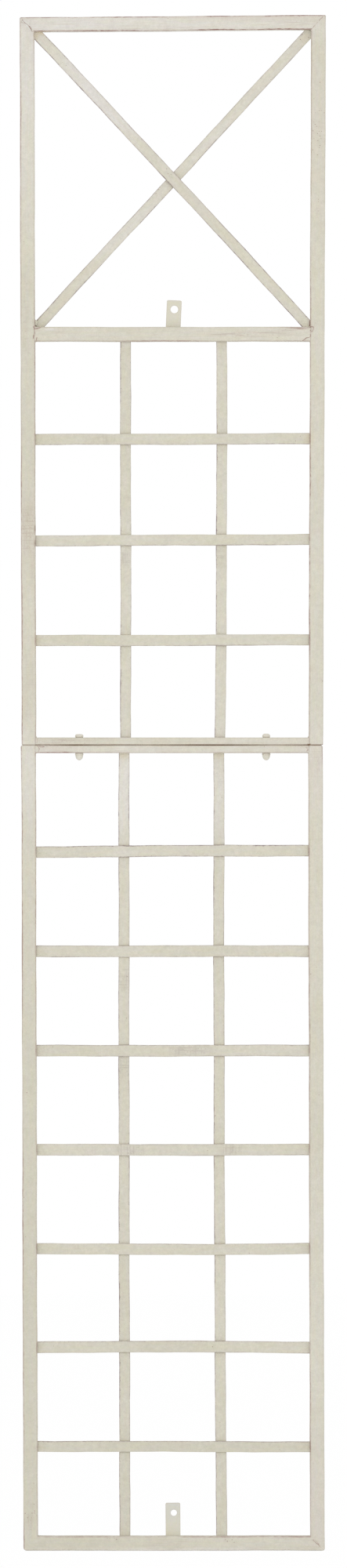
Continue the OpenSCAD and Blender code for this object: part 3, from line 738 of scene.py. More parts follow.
def tubePart(node, panel, run, mitreLow, mitreHigh, sink, seed, wave):
    # An end's place shifts by the mitre times the distance across, so it lies on the mitred plane.
    # A mitred end reaches the panel's outer line.
    low, high, _ = boxOf(node)
    high[2] -= thinner.get(node, 0.0)
    axis, across = (0, 2) if run == "x" else (2, 0)
    limits = (-panelHalf, panelHalf) if run == "x" else (panelShape[panel]["low"], panelShape[panel]["high"])
    first, last = limits[0] if mitreLow else low[axis], limits[1] if mitreHigh else high[axis]
    wide, length = high[across] - low[across], last - first
    profile, way, edge = roundedProfile(wide, high[1] - low[1], tubeLook["edgeRadius"], tubeLook["arcSteps"])
    a, depth = profile.T
    start = first - sink + mitreLow * a + abs(mitreLow) * wide / 2
    finish = last + sink + mitreHigh * a - abs(mitreHigh) * wide / 2
    shares = stationShares(length, tubeLook["gap"])
    s = start[None, :] + shares[:, None] * (finish - start)[None, :]
    end = np.minimum(shares, 1 - shares)[:, None] * length
    calm = wave * smoothStep(0, tubeLook["calm"], end)
    bulge = 1 + calm * wobble(s, seed + 5, tubeLook["dent"]) / (0.5 * tubeSide)
    points = np.zeros((*s.shape, 3))
    points[..., axis] = s
    points[..., across] = (low[across] + high[across]) / 2 + a[None, :] * bulge \
        + calm * wobble(s, seed, tubeLook["waves"])
    points[..., 1] = depth[None, :]
    points = fitToPanel(roundCorners(points, panel), panel)
    end = end + (tubeLook["seamStart"] if sink else noWear)  # no dark line at ground ends
    return gridPart(points, np.append(s, s[:, :1], 1) + seed, way[None, :], edge[None, :], end)


boltHole = {"radius": 3.3 * mm, "reach": 30 * mm, "sides": 48}
boltPlaces = [boxOf(n)[2][0] for n in ("left_bolt", "right_bolt")]


def drillHoles(piece, body):  # cuts a round hole right through, along z, at each bolt
    around = np.linspace(0, 2 * np.pi, boltHole["sides"], endpoint=False)
    for x in boltPlaces:
        ring = np.stack([x + boltHole["radius"] * np.cos(around), boltHole["radius"] * np.sin(around), 0 * around], 1)
        rows = np.stack([ring + [0, 0, jointHeight + side * boltHole["reach"]] for side in (-1, 1)])
        plain = np.zeros((2, boltHole["sides"] + 1))
        drill = makePiece("drill", [gridPart(rows, plain, plain, plain + noWear, plain + noWear)], paints["tube"], body)
        cut = piece.modifiers.new("bolt_hole", "BOOLEAN")
        cut.object = drill
        cut.operation = "DIFFERENCE"
        cut.solver = "EXACT"
        bpy.context.view_layer.objects.active = piece
        bpy.ops.object.modifier_apply(modifier=cut.name)
        bpy.data.objects.remove(drill)


for name, values in tubes.items():
    body = bodyOf[values[0]]
    paint = paints["rail" if "rail" in name else "tube"]
    piece = makePiece(name, [tubePart(name, *values)], paint, body, [name], jointDirtAndShade)
    if "meeting" in name:
        drillHoles(piece, body)
        putWearShadeAndLight(piece.data, name, jointDirtAndShade)
print("tubes made,", len(tubes))

# End plates: the stile's rounded square, its rim at the joint eased
plateLook = {"easing": 0.45 * mm, "easingSteps": 5}


def platePart(node, panel):  # rings of the square from one face to the other, drawn in by a quarter circle at the joint
    low, high, middle = boxOf(node)
    wide, thick = high[0] - low[0], high[2] - low[2]
    profile, way, edge = roundedProfile(wide, high[1] - low[1], tubeLook["edgeRadius"], tubeLook["arcSteps"])
    turn = np.radians(np.linspace(0, 90, plateLook["easingSteps"]))
    height = np.concatenate([[0.0, 0.5], 1 - plateLook["easing"] / thick * (1 - np.sin(turn))])
    inset = np.concatenate([[0.0, 0.0], plateLook["easing"] * (1 - np.cos(turn))])
    if panel == "upper":
        height = 1 - height
    points = np.zeros((len(height), len(profile), 3))
    points[..., :2] = profile[None, :, :] * (1 - inset / (wide / 2))[:, None, None] + [middle[0], 0]
    points[..., 2] = (low[2] + height * thick)[:, None]
    points = fitToPanel(roundCorners(points, panel), panel)
    return gridPart(points, (height * thick)[:, None], way[None, :], edge[None, :], np.full((len(height), 1), noWear))


for panel in bodyOf:
    for side in ("left", "right"):
        name = f"{panel}_{side}_end_plate"
        makePiece(name, [platePart(name, panel)], paints["tube"], bodyOf[panel], [name], jointDirtAndShade)
print("end plates made")

# Flat bars: a thin rectangle with eased edges carried along a line
barLook = {
    "edgeRadius": 0.55 * mm,
    "arcSteps": 4,
    "gap": 4.0 * mm,
    "waves": [(0.29, 0.20 * mm), (0.087, 0.12 * mm), (0.033, 0.05 * mm)],
    "widthWaves": [(0.17, 0.10 * mm), (0.047, 0.06 * mm)],
    "sink": 1.2 * mm,  # into the tube at each end
    "headClean": 5.0 * mm,  # no dark line where the lower uprights meet the joint's rail
    "crossingSteps": np.array([-2.2, -1.4, -0.8, -0.35, 0, 0.35, 0.8, 1.4, 2.2]) * mm,  # stations about a crossing
    "crossingShade": 0.24,
    "crossingReach": 0.7 * mm,
}
slats = {
    # lift, rise from left to right, bow in the middle, seed; in millimetres
    "upper_slat_1": (1.0, 1.0, 0.0, 21), "upper_slat_2": (-1.1, 1.9, 0.0, 22), "upper_slat_3": (-2.0, 1.0, 0.0, 23),
    "lower_slat_1": (-0.1, -0.6, 0.0, 24), "lower_slat_2": (-0.2, -0.4, 0.9, 25), "lower_slat_3": (-0.9, 0.0, -1.0, 26),
    "lower_slat_4": (-1.5, 0.2, 0.0, 27), "lower_slat_5": (-1.7, 0.2, 0.0, 28), "lower_slat_6": (-1.4, 0.3, 0.0, 29),
    "lower_slat_7": (-0.6, 2.0, 0.4, 30),
}
uprights = {
    # sideways shift at the foot and at the head, bow in the middle, seed; in millimetres
    "upper_left_upright": (0.7, 0.3, 0.3, 31), "upper_right_upright": (-0.3, 1.8, 0.8, 32),
    "lower_left_upright": (0.0, -1.3, -0.7, 33), "lower_right_upright": (1.6, -1.8, -1.3, 34),
}
braces = {
    # direction of rise along x, lift and rise from the middle to the right end in millimetres, seed
    "front_brace": (-1, 0.05, -0.5, 41), "rear_brace": (1, -1.7, 0.95, 42),
}
barWidths = {
    # in millimetres, where a bar is narrower than the others
    "upper_slat_1": 14.5, "upper_slat_2": 14.2, "upper_slat_3": 14.4, "lower_slat_1": 14.1, "lower_slat_3": 14.4,
    "upper_left_upright": 14.1, "upper_right_upright": 14.0, "lower_left_upright": 14.1, "lower_right_upright": 14.2,
    "front_brace": 14.0, "rear_brace": 13.6,
}
fullWidth = 15.0
acrossX, acrossZ = np.array([1.0, 0, 0]), np.array([0, 0, 1.0])


def barWide(name):
    return barWidths.get(name, fullWidth) * mm


def barPart(name, ends, along, across, seed, crossings=(), headClean=0.0):
    # The bar runs along its direction; ends gives the places of its ends for each distance across.
    # Stations stand closer at the crossings, where shade is painted beside the crossing bar.
    low, high, middle = boxOf(name)
    width, sink = barWide(name), barLook["sink"]
    profile, way, edge = roundedProfile(width, high[1] - low[1], barLook["edgeRadius"], barLook["arcSteps"])
    a, depth = profile.T
    first, last = (0 * a + e for e in ends(a))
    first, last = first - sink, last + sink
    length = float((last - first).max())
    more = (np.add.outer(np.array(crossings), barLook["crossingSteps"]).ravel() - first.min()) / length
    shares = np.unique(np.concatenate([stationShares(length, barLook["gap"]), more]).round(6))
    s = first[None, :] + shares[:, None] * (last - first)[None, :]
    sideways = a[None, :] * (1 + wobble(s, seed + 7, barLook["widthWaves"]) / (width / 2)) \
        + wobble(s, seed, barLook["waves"])
    points = s[..., None] * along + sideways[..., None] * across
    points[..., 1] += middle[1] + depth[None, :]
    end = np.maximum(np.minimum(shares * length, (1 - shares) * length + headClean)[:, None] - sink, 0)
    return gridPart(points, np.append(s, s[:, :1], 1) + seed, way[None, :], edge[None, :], end)


def slatShape(name, points):  # z gains the lift, an even rise along x, and a bow that is a parabola
    lift, rise, bow, _ = slats[name]
    share = points[..., 0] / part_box(name)[1].x
    points = points.copy()
    points[..., 2] += mm * (lift + rise * share / 2 + bow * (1 - share ** 2))
    return points


def uprightShape(name, points):  # x gains a shift that runs evenly from foot to head, and a bow that is a parabola
    foot, head, bow, _ = uprights[name]
    low, high, _ = boxOf(name)
    share = (points[..., 2] - low[2]) / (high[2] - low[2])
    points = points.copy()
    points[..., 0] += mm * (foot + (head - foot) * share + bow * (1 - (2 * share - 1) ** 2))
    return points


def slatEdges(name):  # heights of the lower and upper edges of the slats in front of an upright
    place = boxOf(name)[2] * [1, 0, 0]
    edges = []
    for slat in slats:
        if slat.split("_")[0] == name.split("_")[0]:
            height = slatShape(slat, place)[2] + boxOf(slat)[2][2]
            edges += [height - barWide(slat) / 2, height + barWide(slat) / 2]
    return np.array(edges)


def shadeBeside(distance, points):  # painted shade that falls away from the crossing bar's edge, on the front only
    shade = barLook["crossingShade"] * np.exp(-np.maximum(distance, 0) / barLook["crossingReach"])
    return shade * (points[:, 1] < rearDepth)


for name, (*_, seed) in slats.items():
    low, high, middle = boxOf(name)
    panel = name.split("_")[0]
    part = barPart(name, lambda a: (low[0], high[0]), acrossX, acrossZ, seed)
    part["points"] = slatShape(name, fitToPanel(part["points"] + middle * acrossZ, panel))
    makePiece(name, [part], paints["bar"], bodyOf[panel], [name])
for name, (*_, seed) in uprights.items():
    low, high, middle = boxOf(name)
    panel, edges = name.split("_")[0], slatEdges(name)
    headClean = barLook["headClean"] if panel == "lower" else 0.0
    part = barPart(name, lambda a: (low[2], high[2]), acrossZ, acrossX, seed, edges, headClean)
    part["points"] = uprightShape(name, part["points"] + middle * acrossX)
    makePiece(name, [part], paints["bar"], bodyOf[panel], [name],
              lambda p: shadeBeside(np.abs(p[:, 2:] - edges).min(1), p))
print("slats and uprights made,", len(slats) + len(uprights))

for name, (slope, lift, rise, seed) in braces.items():
    low, high, middle = boxOf(name)
    bayWidth, _, bayHeight = high - low
    angle = math.atan2(bayHeight, bayWidth)
    c, s = math.cos(angle), math.sin(angle)
    along, across = np.array([c, 0, slope * s]), np.array([-slope * s, 0, c])

    def cutToBay(a):  # each line along the bar meets the stile or the rail, whichever comes first
        finish = np.minimum((bayWidth / 2 + slope * a * s) / c, (bayHeight / 2 - slope * a * c) / s)
        start = np.minimum((bayWidth / 2 - slope * a * s) / c, (bayHeight / 2 + slope * a * c) / s)
        return -start, finish

    behind = slope > 0  # the front brace's edges cross this one
    frontHalf = barWide("front_brace") / 2
    centre = middle[2] + lift * mm
    part = barPart(name, cutToBay, along, across, seed, [-frontHalf, frontHalf] if behind else ())
    part["points"][..., 2] += centre + rise * mm * part["points"][..., 0] / (bayWidth / 2)
    part["points"] = fitToPanel(part["points"], "upper")

    def braceShade(p):  # by the distance along the bar from the front brace's edges
        way = p[:, 0] * along[0] + (p[:, 2] - centre) * along[2]
        return shadeBeside(np.abs(np.abs(way) - frontHalf), p)

    makePiece(name, [part], paints["bar"], "upper_frame", [name], braceShade if behind else None)
print("braces made")

# Lugs: a drilled plate, worked as a ring of rays from the hole's rim to the outline
lugLook = {
    "edge": 0.5 * mm, "rim": 0.3 * mm, "corner": 2.0 * mm, "sink": 1.0 * mm, "rays": 160,
    "thickness": 3.0 * mm, "front": 3.0 * mm,  # depth of the front face
    "bendHeight": 14.0 * mm, "bendReach": 2.0 * mm,  # the bend is spread over this much above and below its line
    "faceShares": np.array([0.06, 0.2, 0.4, 0.6, 0.8, 0.94]), "arcSteps": 4, "cornerSteps": 10, "heightSteps": 400,
}
lugs = {
    # lean and bend in degrees
    "upper_lug": {"width": 19.3 * mm, "height": 35.0 * mm, "hole": 10.0 * mm, "holeHeight": 23.2 * mm, "lean": 2.5,
                  "bend": 0.0, "shift": 0.6 * mm, "holeShift": 0.5 * mm, "rail": "brace_rail", "body": "upper_frame"},
    "lower_lug": {"width": 19.2 * mm, "height": 42.5 * mm, "hole": 8.2 * mm, "holeHeight": 29.4 * mm, "lean": -0.5,
                  "bend": 6.0, "shift": 0.5 * mm, "holeShift": 1.2 * mm, "rail": "bottom_rail", "body": "lower_frame"},
}


def lugOutline(width, height):  # an upright rectangle from below the foot to the top, its upper corners quarter circles
    half, corner, foot = width / 2, lugLook["corner"], -lugLook["sink"]
    turn = np.linspace(0, np.pi / 2, lugLook["cornerSteps"])
    right = np.stack([half - corner + corner * np.cos(turn), height - corner + corner * np.sin(turn)], 1)
    left = np.stack([-half + corner - corner * np.sin(turn), height - corner + corner * np.cos(turn)], 1)
    outline = np.concatenate([[[0, foot], [half, foot]], right, left, [[-half, foot], [0, foot]]])
    way = np.append(0, np.cumsum(np.hypot(*np.diff(outline, axis=0).T)))
    spot = np.linspace(0, way[-1], lugLook["rays"], endpoint=False)
    spot = np.unique(np.concatenate([spot, way[1:-1]]))
    return np.stack([np.interp(spot, way, outline[:, k]) for k in (0, 1)], 1), spot


def lugPart(look):
    # Across the ray: hole wall, eased rim, front face, eased edge, outer wall and back again, as one closed loop
    edge, rim, sink, half = lugLook["edge"], lugLook["rim"], lugLook["sink"], lugLook["thickness"] / 2
    outline, spot = lugOutline(look["width"], look["height"])
    centre = np.array([look["holeShift"], look["holeHeight"]])
    ray = outline - centre
    reach = np.hypot(ray[:, 0], ray[:, 1])[:, None]
    quarter = np.radians(np.linspace(0, 90, lugLook["arcSteps"]))
    inner, outer = look["hole"] / 2 + rim, reach - edge
    face = inner + lugLook["faceShares"] * (outer - inner)
    rimOut, edgeOut = inner - rim * np.cos(quarter) + 0 * reach, outer + edge * np.sin(quarter)
    radius = np.concatenate([rimOut, face, edgeOut], 1)
    radius = np.concatenate([radius, radius[:, ::-1]], 1)
    front = np.concatenate([-half + rim - rim * np.sin(quarter), np.full(len(lugLook["faceShares"]), -half),
                            -half + edge - edge * np.cos(quarter)])
    y = np.concatenate([front, -front[::-1]])
    flat = centre + (ray / reach)[:, None, :] * radius[..., None]
    x, height = flat[..., 0], flat[..., 1]
    # The bend: the plate's line is walked in small steps at its tilt
    h = np.linspace(-sink, look["height"], lugLook["heightSteps"])
    tilt = math.radians(look["bend"]) * smoothStep(lugLook["bendHeight"] - lugLook["bendReach"],
                                                   lugLook["bendHeight"] + lugLook["bendReach"], h)
    step = h[1] - h[0]
    backY, upZ = np.cumsum(np.sin(tilt)) * step, np.cumsum(np.cos(tilt)) * step - sink
    angle = np.interp(height, h, tilt)
    z = np.interp(height, h, upZ) - y[None, :] * np.sin(angle)
    depth = np.interp(height, h, backY) + y[None, :] * np.cos(angle)
    lean = math.radians(look["lean"])
    points = np.stack([look["shift"] + x * math.cos(lean) + z * math.sin(lean), lugLook["front"] + half + depth,
                       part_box(look["rail"])[1].z - x * math.sin(lean) + z * math.cos(lean)], -1)
    gap = np.minimum(np.abs(radius - reach), np.abs(radius - inner + rim))
    wayRound = np.cumsum(np.concatenate([[0], np.hypot(np.diff(radius[0]), np.diff(y)), [1.0 * mm]]))
    return gridPart(points, spot[:, None], wayRound[None, :], np.append(gap, gap[:, :1], 1),
                    np.full((len(spot), 1), noWear), caps=False, loop=True)


for name, look in lugs.items():
    makePiece(name, [lugPart(look)], paints["lug"], look["body"], [name])
print("lugs made")

# Welds: beads with ripples, thick fillets behind the bars and nearly flat, ground ones over the tubes' joints
weldLook = {
    "ripple": 0.10, "pitch": 1.9 * mm, "stations": 48, "around": 16, "smooth": 11,
    "swell": 0.12, "swellWaves": [(9 * mm, 1.0), (23 * mm, 1.0)], "driftWaves": [(7 * mm, 0.6), (17 * mm, 1.0)],
    "endClear": 2.0 * mm, "endPower": 6, "endLeast": 0.0004,  # how bluntly a bead closes at its ends
}
backward, upward = (0, 1, 0), (0, 0, 1)


def beadPart(path, normal, sizeA, sizeB, seed, wander=0.0, ripple=None, clean=0.0):
    # An ellipse carried along a smoothed path, its wide axis across the path, the other one along the normal.
    # Its size swells in ripples and closes to nothing at both ends; a clean bead has weaker dark borders.
    path, normal = np.array(path, float), np.array(normal, float)
    walked = np.append(0, np.cumsum(np.linalg.norm(np.diff(path, axis=0), axis=1)))
    length, half = walked[-1], weldLook["smooth"] // 2
    t = np.linspace(0, 1, weldLook["stations"])
    line = np.stack([np.interp(t * length, walked, path[:, k]) for k in range(3)], 1)
    padded = np.concatenate([2 * line[:1] - line[half:0:-1], line, 2 * line[-1:] - line[-2:-half - 2:-1]])
    window = np.hanning(weldLook["smooth"] + 2)[1:-1]
    line = np.stack([np.convolve(padded[:, k], window / window.sum(), "valid") for k in range(3)], 1)
    across = np.cross(normal, np.gradient(line, axis=0))
    across /= np.linalg.norm(across, axis=1)[:, None]
    beat = np.sin(2 * np.pi * (t * length / weldLook["pitch"] + np.random.default_rng(seed).random()))
    size = np.sqrt(np.maximum(1 - (2 * t - 1) ** weldLook["endPower"], weldLook["endLeast"]))
    size = size * (1 + (ripple or weldLook["ripple"]) * beat)
    size = size * (1 + weldLook["swell"] * wobble(t * length, seed + 3, weldLook["swellWaves"]))
    drift = wander * wobble(t * length, seed + 9, weldLook["driftWaves"])
    turn = np.linspace(0, 2 * np.pi, weldLook["around"] + 1)
    ring = np.cos(turn)[None, :-1, None] * across[:, None, :] * sizeA + np.sin(turn)[None, :-1, None] * normal * sizeB
    points = (line + drift[:, None] * across)[:, None, :] + size[:, None, None] * ring
    border = np.abs(np.sin(turn)) * sizeA + clean
    end = np.minimum(t, 1 - t)[:, None] * length + weldLook["endClear"]
    return gridPart(points, (t * length + seed)[:, None], (turn * sizeA)[None, :], border[None, :], end)


fillet = {"leg": 1.5 * mm, "half": 4.0 * mm, "braceInset": 5.5 * mm, "lugHalf": 9.5 * mm}
beadSeeds = {"upper": (100, 400), "lower": (200, 500), "lug": 300}  # of the bars' and of the tubes' welds


def barFillets(name, seed):  # behind both ends of a bar: upright at a slat, lying across at an upright or a brace
    low, high, middle = boxOf(name)
    half = (fillet["half"], 0, 0)
    if name in slats:
        ends, half = [(x, middle[2]) for x in (low[0], high[0])], (0, 0, fillet["half"])
    elif name in uprights:
        ends = [(middle[0], z) for z in (low[2], high[2])]
    else:
        ends = [(side * (high[0] - fillet["braceInset"]), (high if side * braces[name][0] > 0 else low)[2])
                for side in (-1, 1)]
    parts = []
    for k, (x, z) in enumerate(ends):
        place = np.array([x, high[1], z])
        part = beadPart([place - half, place + half], backward, fillet["leg"], fillet["leg"], seed + k)
        if name in uprights:
            part["points"] = uprightShape(name, part["points"])
        else:
            part["points"] = fitToPanel(part["points"], "lower" if name.startswith("lower") else "upper")
        if name in slats:
            part["points"] = slatShape(name, part["points"])
        parts.append(part)
    return parts


for panel in bodyOf:
    parts, seed = [], beadSeeds[panel][0]
    for name in [n for n in (*slats, *uprights) if n.startswith(panel)] + (list(braces) if panel == "upper" else []):
        parts += barFillets(name, seed + len(parts))
    makePiece(panel + "_bar_welds", parts, paints["weld"], bodyOf[panel], [panel + "_bar_welds"])
for name, look in lugs.items():
    back, top = lugLook["front"] + lugLook["thickness"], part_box(look["rail"])[1].z
    path = [(side * fillet["lugHalf"], back, top) for side in (-1, 1)]
    part = beadPart(path, backward, fillet["leg"], fillet["leg"], beadSeeds["lug"])
    makePiece(name + "_weld", [part], paints["weld"], look["body"], [name + "_weld"])

# Ground welds over mitres and butt joints, on the front and the back, and small fillets in the inner corners
groundSeam = {"halfWidth": 1.4 * mm, "height": 0.2 * mm, "wander": 0.4 * mm, "ease": 2.5 * mm, "ripple": 0.05,
              "clean": 0.9 * mm, "cornerFillet": 0.8 * mm, "overlap": 0.3 * mm, "railEase": 0.8 * mm,
              "cornerEase": 2.0 * mm}
frontSeams = {
    # path in millimetres, half width, height, wander, cleanness; below 0 the bead shows as a dark line
    "upper": [
        ([(-195.0, 1996.4), (-189.2, 1992.4), (-187.4, 1988.0), (-181.0, 1981.8)], 2.2, 0.55, 0.3, 1.6),  # head left
        ([(-195.5, 1996.6), (-192.4, 1994.5), (-189.9, 1991.7), (-186.9, 1989.4), (-184.3, 1985.6), (-181.0, 1980.5)],
         0.6, 0.8, 0.25, -0.1),
        ([(-196.4, 1994.2), (-192.6, 1991.8)], 0.5, 0.7, 0.1, 0.1),
        ([(194.0, 1998.0), (191.6, 1995.2), (188.6, 1992.6)], 0.5, 0.25, 0.2, -0.1),  # head right
        ([(187.8, 1990.8), (184.4, 1987.6), (182.8, 1985.2), (180.4, 1982.4)], 0.5, 0.22, 0.2, 0.0),
        ([(-180.8, 1606.4), (-181.7, 1601.6), (-180.8, 1597.2)], 0.8, 0.3, 0.1, 0.5),  # brace left
        ([(-181.7, 1595.4), (-179.4, 1592.4), (-175.6, 1592.7), (-171.8, 1594.6)], 0.8, 0.3, 0.1, -0.9),
        ([(-180.5, 1591.8), (-179.5, 1587.7), (-180.7, 1583.6), (-181.6, 1579.4)], 0.6, 0.22, 0.2, -0.1),
        ([(-176.5, 1581.8), (-177.6, 1577.4)], 0.55, 0.2, 0.1, -0.4),
        ([(178.2, 1594.6), (180.3, 1595.2), (184.0, 1595.2), (183.2, 1591.8), (180.8, 1588.2), (179.2, 1591.2)],
         0.6, 0.25, 0.25, -0.5),  # brace right
        ([(178.6, 1585.2), (180.2, 1583.2), (177.4, 1580.8), (173.4, 1579.8), (169.0, 1576.8)], 0.5, 0.2, 0.35, -0.3),
        ([(-178.0, 1058.2), (-177.2, 1055.4), (-178.2, 1052.4)], 0.6, 0.18, 0.1, 0.0),  # joint left
        ([(179.0, 1058.8), (179.0, 1051.2)], 0.6, 0.15, 0.1, 0.7),  # joint right
    ],
    "lower": [
        ([(182.2, 15.0), (187.2, 11.0), (190.2, 7.4), (192.2, 4.4)], 1.1, 0.3, 0.2, 0.1),  # foot right
        ([(-180.0, 1047.6), (-176.6, 1046.2), (-176.0, 1043.4), (-178.4, 1041.0)], 1.3, 0.35, 0.1, 1.4),  # joint left
        ([(-176.2, 1048.4), (-174.6, 1045.0), (-176.2, 1041.2)], 0.5, 0.2, 0.1, -0.5),
        ([(-177.6, 1048.5), (-173.0, 1047.8), (-167.4, 1047.7)], 0.5, 0.2, 0.1, -0.4),
        ([(176.0, 1047.6), (178.8, 1044.4), (176.8, 1041.0)], 0.6, 0.25, 0.1, -0.3),  # joint right
    ],
}
braceBeads = {
    # path in millimetres with depth, half width, height, cleanness; where the braces meet the front of their corners
    "upper": [
        ([(-178.8, -2.6, 1971.5), (-178.2, -2.8, 1979.6), (-170.5, -2.6, 1980.8)], 1.4, 0.9, 1.6),
        ([(-179.0, -2.0, 1604.4), (-178.0, -2.6, 1600.6), (-178.2, -2.6, 1596.8)], 2.1, 1.8, 1.6),
        ([(-180.0, -4.4, 1596.4), (-177.4, -4.2, 1595.7)], 0.7, 0.6, -1.0),
        ([(178.6, -2.8, 1603.4), (178.2, -2.9, 1596.0)], 0.9, 0.7, -0.8),
        ([(169.5, -0.2, 1980.6), (178.4, -0.2, 1979.8)], 0.9, 0.7, 0.3),
    ],
    "lower": [],
}
outerX, innerX, faceY = cadHigh.x, cadHigh.x - tubeSide, cadHigh.y
railEnds = {
    # low z and high z of the rails' ends at the stiles
    panel: [(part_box(rail)[0].z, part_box(rail)[1].z) for rail in rails]
    for panel, rails in (("upper", ("brace_rail", "upper_meeting_rail")), ("lower", ("lower_meeting_rail",)))
}
cornerEnds = {"upper": (cadHigh.z, cadHigh.z - tubeSide), "lower": (0.0, tubeSide)}
flatBead = (backward, groundSeam["halfWidth"], groundSeam["height"], groundSeam["wander"], groundSeam["ripple"],
            groundSeam["clean"])
cornerBead = (upward, groundSeam["cornerFillet"], groundSeam["cornerFillet"], 0.0, None, groundSeam["clean"])
deep = faceY - groundSeam["cornerEase"]
for panel in bodyOf:
    beads, seed = [], beadSeeds[panel][1]
    outerZ, innerZ = cornerEnds[panel]
    toward = np.sign(innerZ - outerZ)
    for points, halfWidth, height, wander, clean in frontSeams[panel]:
        path = [(x * mm, -faceY, z * mm) for x, z in points]
        beads.append((path, backward, halfWidth * mm, height * mm, wander * mm, groundSeam["ripple"], clean * mm))
    for side in (-1, 1):
        path = [(side * (outerX - groundSeam["ease"]), faceY, outerZ + toward * groundSeam["ease"]),
                (side * (innerX + groundSeam["overlap"]), faceY, innerZ - toward * groundSeam["overlap"])]
        beads.append((path, *flatBead))
        beads.append(([(side * innerX, y, innerZ) for y in (-deep, deep)], *cornerBead))
        for low, high in railEnds[panel]:
            path = [(side * innerX, faceY, z) for z in (low + groundSeam["railEase"], high - groundSeam["railEase"])]
            beads.append((path, *flatBead))
            for z in (low, high):
                if abs(z - jointHeight) > 1 * mm:
                    beads.append(([(side * innerX, y, z) for y in (-deep, deep)], *cornerBead))
    for points, halfWidth, height, clean in braceBeads[panel]:
        beads.append((np.array(points) * mm, backward, halfWidth * mm, height * mm, 0.0, None, clean * mm))
    parts = [beadPart(*bead[:4], seed + k, *bead[4:]) for k, bead in enumerate(beads)]
    for part in parts:
        part["points"] = fitToPanel(part["points"], panel)
    makePiece(panel + "_tube_welds", parts, paints["weld"], bodyOf[panel])
print("welds made")

# Bolts: pan head with a slot, worked on chords so that the slot's walls follow the grid, over a turned, threaded shank
boltLook = {
    "slotHalf": 0.8 * mm, "slotDepth": 2.0 * mm, "wall": 0.06 * mm, "slotClear": 0.15 * mm, "chords": 41,
    "shankRadius": 3.0 * mm, "length": 25.0 * mm, "pitch": 1.0 * mm, "threadDepth": 0.45 * mm, "plain": 2.0 * mm,
    "runIn": 0.8 * mm, "tip": 0.7 * mm, "neck": 0.2 * mm, "threadRings": 185,
    "underIn": np.array([0.0, 0.06, 0.2, 0.42, 0.6]) * mm,  # drawn in under the rim, at these heights
    "underZ": np.array([1.3, 1.0, 0.65, 0.3, 0.0]) * mm,
    "headEdge": 0.9 * mm,  # distance that the paint takes for the rim's edge
}
boltHeads = {
    # the left head is flatter, the right one domed
    "left_bolt": {"radius": 5.4 * mm, "height": 4.5 * mm, "flat": 2.8 * mm, "rim": 2.2 * mm},
    "right_bolt": {"radius": 5.15 * mm, "height": 5.1 * mm, "flat": 1.4 * mm, "rim": 2.0 * mm},
}


def boltParts(x, head, seat):
    look = boltLook
    radius, rim, slot, wall = head["radius"], head["rim"], look["slotHalf"], look["wall"]
    # Chords: rows across the head, each from rim to rim; height is the dome's, or the slot's floor if that is lower
    rows = -radius * np.cos(np.linspace(0, np.pi, look["chords"]))
    rows = np.sort(np.concatenate([rows[np.abs(np.abs(rows) - slot) > look["slotClear"]],
                                   [-slot - wall, -slot + wall, slot - wall, slot + wall]]))
    share = np.sin(np.linspace(-np.pi / 2, np.pi / 2, look["chords"]))
    half = np.sqrt(np.maximum(radius ** 2 - rows ** 2, 0))
    chordX = half[:, None] * share[None, :]
    chordY = rows[:, None] + 0 * chordX
    out = np.maximum((np.hypot(chordX, chordY) - head["flat"]) / (radius - head["flat"]), 0)
    dome = rim + (head["height"] - rim) * np.sqrt(np.maximum(1 - np.minimum(out, 1) ** 2, 0))
    floor = np.where(np.abs(chordY) < slot, head["height"] - look["slotDepth"], np.inf)
    top = np.stack([x + chordX, chordY, seat + np.minimum(dome, floor)], -1)
    # Turned part: from the rim under the head, down the threaded shank, to a point at the tip
    border = np.concatenate([np.stack([half, rows], 1), np.stack([-half, rows], 1)[-2:0:-1]])
    angle = np.arctan2(border[:, 1], border[:, 0])
    plain, length, shank = look["plain"], look["length"], look["shankRadius"]
    down = np.linspace(-plain, -length + look["runIn"], look["threadRings"])
    ringR = np.concatenate([[radius], radius - look["underIn"], np.full(2 + len(down), shank),
                            [shank - look["tip"], 0.0]])
    ringZ = np.concatenate([[rim], look["underZ"], [0.0, -plain + look["neck"]], down, [-length, -length]])
    phase = np.mod(ringZ[:, None] / look["pitch"] - angle[None, :] / (2 * np.pi), 1)
    tooth = np.abs(2 * phase - 1)  # 0 on the crest, 1 in the root
    cut = smoothStep(plain, plain + look["runIn"], -ringZ) * (ringR >= shank)
    turned = ringR[:, None] - look["threadDepth"] * tooth * cut[:, None]
    shank = np.stack([x + turned * np.cos(angle), turned * np.sin(angle), seat + ringZ[:, None] + 0 * turned], -1)
    return top, shank


def boltPiece(name, x, seat):
    head = boltHeads[name]
    top, shank = boltParts(x, head, seat)
    vertices = np.concatenate([top.reshape(-1, 3), shank.reshape(-1, 3)])
    row, column = gridQuads(*top.shape[:2], sheet=True)
    sheet = row * top.shape[1] + column
    row, column = gridQuads(*shank.shape[:2])
    tube = row * shank.shape[1] + column % shank.shape[1] + top[..., 0].size
    away = np.hypot(top[..., 0] - x, top[..., 1])
    edge = np.concatenate([np.abs(head["radius"] - away).ravel() + boltLook["headEdge"],
                           np.full(shank[..., 0].size, noWear)])
    return vertices, np.concatenate([sheet, tube[:, [0, 3, 2, 1]]]), edge


seatShadow = {"strength": 0.6, "reach": 0.45 * mm}  # painted shadow: a dark ring where a fastener meets its rail
turnedRadius = 5.0 * mm  # taken for the way round a fastener


